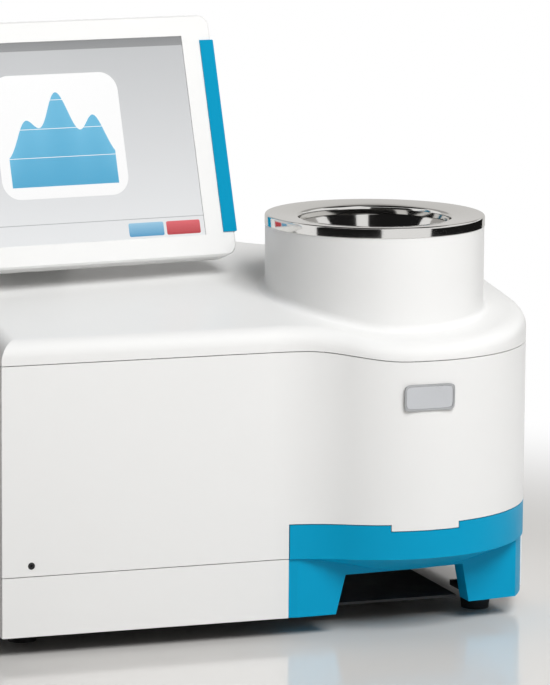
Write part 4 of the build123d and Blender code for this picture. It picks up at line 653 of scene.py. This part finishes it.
s = np.linspace(0, 2 * np.pi, SECTION_STEPS, endpoint=False)[:, None]
border_points = badge_points(np.cos(s) * BORDER_W / 2, face_lift + (np.sin(s) - 1) * BORDER_H)
badge_border = new_piece("badge_border", border_points, grid_faces(SECTION_STEPS, OUTLINE_STEPS, True, True))
face_points = badge_points(np.linspace(0, -half_up, FACE_RINGS)[:, None], face_lift - FACE_DROP)
badge_face = new_piece("badge_face", face_points, grid_faces(FACE_RINGS, OUTLINE_STEPS, False, True))
for piece, slot in ((badge_border, "plain_steel"), (badge_face, "badge_metal")):
    piece.data.materials.append(FINISHES[slot])
    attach(piece, "chassis")
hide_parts("badge_plate")
print("badge", [round(float(v), 4) for v in badge_size])

# %% [markdown]
# Small screws hold the rear sheet. One head is a dome whose middle sinks into a socket with six lobes:
# there the radius follows r (1 + k cos 6t). Each profile point has a radius, a rise and a yes or no for the
# lobes. Copies of one object would do as well, but one joined mesh is lighter.
# %% Screw heads
HEAD_R = 2.9 * MM
HEAD_H = 1.1 * MM
HEAD_STEPS = 48
HEAD_RADII = (1.0, 0.96, 0.8, 0.6, 0.44, 0.42, 0.0)
HEAD_RISES = (-0.3, 0.55, 0.86, 0.98, 1.0, 0.25, 0.2)
HEAD_LOBED = (0, 0, 0, 0, 1, 1, 0)
LOBES = 6
LOBE_DEPTH = 0.16


def screw_heads(name, places, material):
    """Domed heads that face backwards, each a grid of profile steps by angle steps, joined in one mesh."""
    t = np.linspace(0, 2 * np.pi, HEAD_STEPS, endpoint=False)
    radius, rise, lobed = (np.array(v)[:, None] for v in (HEAD_RADII, HEAD_RISES, HEAD_LOBED))
    radius = radius * HEAD_R * (1 + LOBE_DEPTH * lobed * np.cos(LOBES * t))
    rise = np.broadcast_to(rise * HEAD_H, radius.shape)
    one = np.stack((radius * np.cos(t), rise, radius * np.sin(t)), axis=-1)
    faces = grid_faces(len(HEAD_RADII), HEAD_STEPS, wrap_columns=True)
    first_corners = np.arange(len(places))[:, None, None] * len(HEAD_RADII) * HEAD_STEPS
    points = np.asarray(places)[:, None, None, :] + one
    piece = new_piece(name, points, (first_corners + faces).reshape(-1, 4))
    piece.data.materials.append(material)
    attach(piece, "chassis")


print("one head has", len(HEAD_RADII) * HEAD_STEPS, "points")

# %% [markdown]
# The screws stand along the sides and the foot of the sheet. Its upper edge follows the slope of the
# casing, so a place worked out from its box can miss it. Every place is therefore tested against the sheet,
# and those with no sheet under them are left out. No head hangs in the air.
# %% Screws of the rear sheet
SCREW_INSET = 9 * MM
SCREWS_ACROSS = 4
SCREWS_UP = 3
TOUCHING = 0.1 * MM

rear_sheet = NODES["rear_panel"]
sheet_low, sheet_high = (np.array(v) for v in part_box("rear_panel"))
columns = np.linspace(sheet_low[0] + SCREW_INSET, sheet_high[0] - SCREW_INSET, SCREWS_ACROSS)
rows = np.linspace(sheet_low[2] + SCREW_INSET, sheet_high[2] - SCREW_INSET, SCREWS_UP)
wanted = [(x, sheet_high[1], z) for x in columns for z in rows if x in columns[[0, -1]] or z == rows[0]]
held = [p for p in wanted if (rear_sheet.closest_point_on_mesh(p)[1] - Vector(p)).length < TOUCHING]
screw_heads("rear_screws", held, FINISHES["plain_steel"])
print("rear screws", len(held), "of", len(wanted))

# %% [markdown]
# The studio is a bright room. What the camera, a mirror or a pane of glass sees of it should be plain
# white, but a white strong enough for that would wash out the object. So the world has two faces. Camera,
# glossy and transmission rays see white, and all other rays see the room's real brightness, which falls off
# to the left and upwards. That leaves the left side of the hopper tower and the lid behind it in a soft
# shade.
# %% The world
LEFT_LIGHT = 0.03
RIGHT_LIGHT = 0.62
OVERHEAD_LOSS = 0.4
ROOM_TINT = (1.0, 0.995, 0.985, 1)
WHITE = (1, 1, 1, 1)


def any_of(tree, *sockets):
    """A value that is 1 where any of the given values is 1, as the largest of them."""
    largest = sockets[0]
    for socket in sockets[1:]:
        node = add_node(tree, "ShaderNodeMath", operation="MAXIMUM")
        wire(tree, (largest, node.inputs[0]), (socket, node.inputs[1]))
        largest = node.outputs[0]
    return largest


world = bpy.data.worlds.new("studio")
bpy.context.scene.world = world
world.use_nodes = True
sky = world.node_tree
sky.nodes.clear()
rays = add_node(sky, "ShaderNodeLightPath").outputs
shows_white = any_of(sky, rays["Is Camera Ray"], rays["Is Glossy Ray"], rays["Is Transmission Ray"])
direction = add_node(sky, "ShaderNodeSeparateXYZ")
sideways = add_node(sky, "ShaderNodeMapRange", {"From Min": -1.0, "From Max": 1.0,
                                                "To Min": LEFT_LIGHT, "To Max": RIGHT_LIGHT})
overhead = add_node(sky, "ShaderNodeMath", {1: -OVERHEAD_LOSS, 2: 1.0}, operation="MULTIPLY_ADD")
strength = add_node(sky, "ShaderNodeMath", operation="MULTIPLY")
room = add_node(sky, "ShaderNodeBackground", {"Color": ROOM_TINT})
plain_white = add_node(sky, "ShaderNodeBackground", {"Color": WHITE})
blend = add_node(sky, "ShaderNodeMixShader")
wire(sky,
     (add_node(sky, "ShaderNodeTexCoord").outputs["Generated"], direction.inputs[0]),
     (direction.outputs["X"], sideways.inputs["Value"]),
     (direction.outputs["Z"], overhead.inputs[0]),
     (sideways.outputs["Result"], strength.inputs[0]),
     (overhead.outputs[0], strength.inputs[1]),
     (strength.outputs[0], room.inputs["Strength"]),
     (shows_white, blend.inputs[0]),
     (room.outputs[0], blend.inputs[1]),
     (plain_white.outputs[0], blend.inputs[2]),
     (blend.outputs[0], add_node(sky, "ShaderNodeOutputWorld").inputs["Surface"]))
print("world from", LEFT_LIGHT, "to", RIGHT_LIGHT)

# %% [markdown]
# One large soft box does the rest. It hangs high in front, a little to the right, and gives the soft
# shadows under the display and the drawer. Its size is what makes a shadow soft; a small lamp would draw
# hard lines. Camera and mirror rays don't see it, so it leaves no square in the glass.
# %% The soft box
BOX_AZIMUTH = 14
BOX_ELEVATION = 46
BOX_DISTANCE = 2.4
BOX_SIZE = 1.2
BOX_POWER = 50
BOX_AIM = np.array((0, 0, 0.2))


def toward(azimuth, elevation):
    """A direction in degrees: azimuth from the front towards the right, elevation up from the floor."""
    a, e = np.radians((azimuth, elevation))
    return np.array((np.sin(a) * np.cos(e), -np.cos(a) * np.cos(e), np.sin(e)))


lamp = bpy.data.lights.new("front_box", "AREA")
lamp.shape = "SQUARE"
lamp.size = BOX_SIZE
lamp.energy = BOX_POWER
soft_box = bpy.data.objects.new("front_box", lamp)
back = toward(BOX_AZIMUTH, BOX_ELEVATION)
side = np.cross(-back, (0, 0, 1))
side /= np.linalg.norm(side)
axes = np.stack((side, np.cross(side, -back), back), axis=1)
soft_box.matrix_world = placed(axes, BOX_AIM + back * BOX_DISTANCE)
soft_box.visible_camera = False
soft_box.visible_glossy = False
bpy.context.scene.collection.objects.link(soft_box)
print("soft box of", BOX_SIZE, "m")

# %% [markdown]
# Polished steel shows only what stands around it. A studio hangs black flags round a chrome piece, with
# gaps where white should show. Here a flag is a patch of a large ball round the rim, between two azimuths
# and two elevations. Only mirror rays can see it, so it shades nothing and stays out of the picture.
# %% Flags that only steel can see
FLAG_R = 1.5
FLAG_STEPS = 16
FLAGS_AT = np.array((*TOWER_AT, TOWER_TOP))


def flag_material(name, colour, strength):
    """A card with an even glow."""
    material = bpy.data.materials.new(name)
    material.use_nodes = True
    tree = material.node_tree
    tree.nodes.clear()
    glow = add_node(tree, "ShaderNodeEmission", {"Color": (*colour, 1), "Strength": strength})
    wire(tree, (glow.outputs[0], add_node(tree, "ShaderNodeOutputMaterial").inputs["Surface"]))
    return material


def flag(name, azimuths, elevations, material):
    """A patch of a ball round the rim, between two azimuths and two elevations in degrees."""
    a = np.linspace(*azimuths, FLAG_STEPS)[None, :]
    e = np.linspace(*elevations, FLAG_STEPS)[:, None]
    points = FLAGS_AT + FLAG_R * np.moveaxis(toward(*np.broadcast_arrays(a, e)), 0, -1)
    piece = new_piece(name, points, grid_faces(FLAG_STEPS, FLAG_STEPS))
    piece.data.materials.append(material)
    piece.visible_camera = False
    piece.visible_diffuse = False
    piece.visible_shadow = False
    piece.visible_transmission = False


black_flag = flag_material("black flag", (1, 1, 1), 0.012)
grey_flag = flag_material("grey flag", (1.0, 0.98, 0.95), 0.42)
satin_flag = flag_material("satin flag", (1.0, 0.985, 0.96), 0.68)
flag("front_flag", (-82, -14), (-12.5, 40), black_flag)
flag("right_flag", (38, 128), (-12.5, 8), black_flag)
flag("roof_flag_left", (-180, 8), (48, 88), black_flag)
flag("roof_flag_right", (46, 180), (48, 88), black_flag)
flag("back_flag", (110, 210), (20, 48), grey_flag)
flag("low_back_flag", (128, 215), (-12.5, 20), satin_flag)
print("flags at", FLAG_R, "m")

# %% [markdown]
# The floor is a pale polished board. Close by it keeps the object's shadow and a faint mirror image, and
# further out it turns into plain white, where the camera only needs a background. The change follows the
# distance from the object, so it looks the same from every side. Rays that light the object still meet the
# board itself.
# %% The floor
FLOOR_HALF = 9.0
FLOOR_TINT = (0.78, 0.765, 0.745, 1)
FLOOR_ROUGHNESS = 0.13
FADE_NEAR = 0.40
FADE_FAR = 0.95
FLOOR_STEPS = 5

floor_material = bpy.data.materials.new("polished floor")
floor_material.use_nodes = True
tree = floor_material.node_tree
board = tree.nodes["Principled BSDF"]
board.inputs["Base Color"].default_value = FLOOR_TINT
board.inputs["Roughness"].default_value = FLOOR_ROUGHNESS
rays = add_node(tree, "ShaderNodeLightPath").outputs
distance = add_node(tree, "ShaderNodeVectorMath", operation="LENGTH")
fade = add_node(tree, "ShaderNodeMapRange", {"From Min": FADE_NEAR, "From Max": FADE_FAR},
                interpolation_type="SMOOTHSTEP")
whiteness = add_node(tree, "ShaderNodeMath", operation="MULTIPLY")
far_white = add_node(tree, "ShaderNodeEmission", {"Strength": 1.0})
blend = add_node(tree, "ShaderNodeMixShader")
wire(tree,
     (add_node(tree, "ShaderNodeTexCoord").outputs["Object"], distance.inputs[0]),
     (distance.outputs["Value"], fade.inputs["Value"]),
     (fade.outputs["Result"], whiteness.inputs[0]),
     (any_of(tree, rays["Is Camera Ray"], rays["Is Glossy Ray"]), whiteness.inputs[1]),
     (whiteness.outputs[0], blend.inputs[0]),
     (board.outputs[0], blend.inputs[1]),
     (far_white.outputs[0], blend.inputs[2]),
     (blend.outputs[0], tree.nodes["Material Output"].inputs["Surface"]))

along = np.linspace(-FLOOR_HALF, FLOOR_HALF, FLOOR_STEPS)
floor_x, floor_y = np.meshgrid(along, along, indexing="ij")
floor_points = np.stack((floor_x, floor_y, np.zeros_like(floor_x)), axis=-1)
floor = new_piece("floor", floor_points, grid_faces(FLOOR_STEPS, FLOOR_STEPS)[:, ::-1])
floor.data.materials.append(floor_material)
print("floor", 2 * FLOOR_HALF, "m")
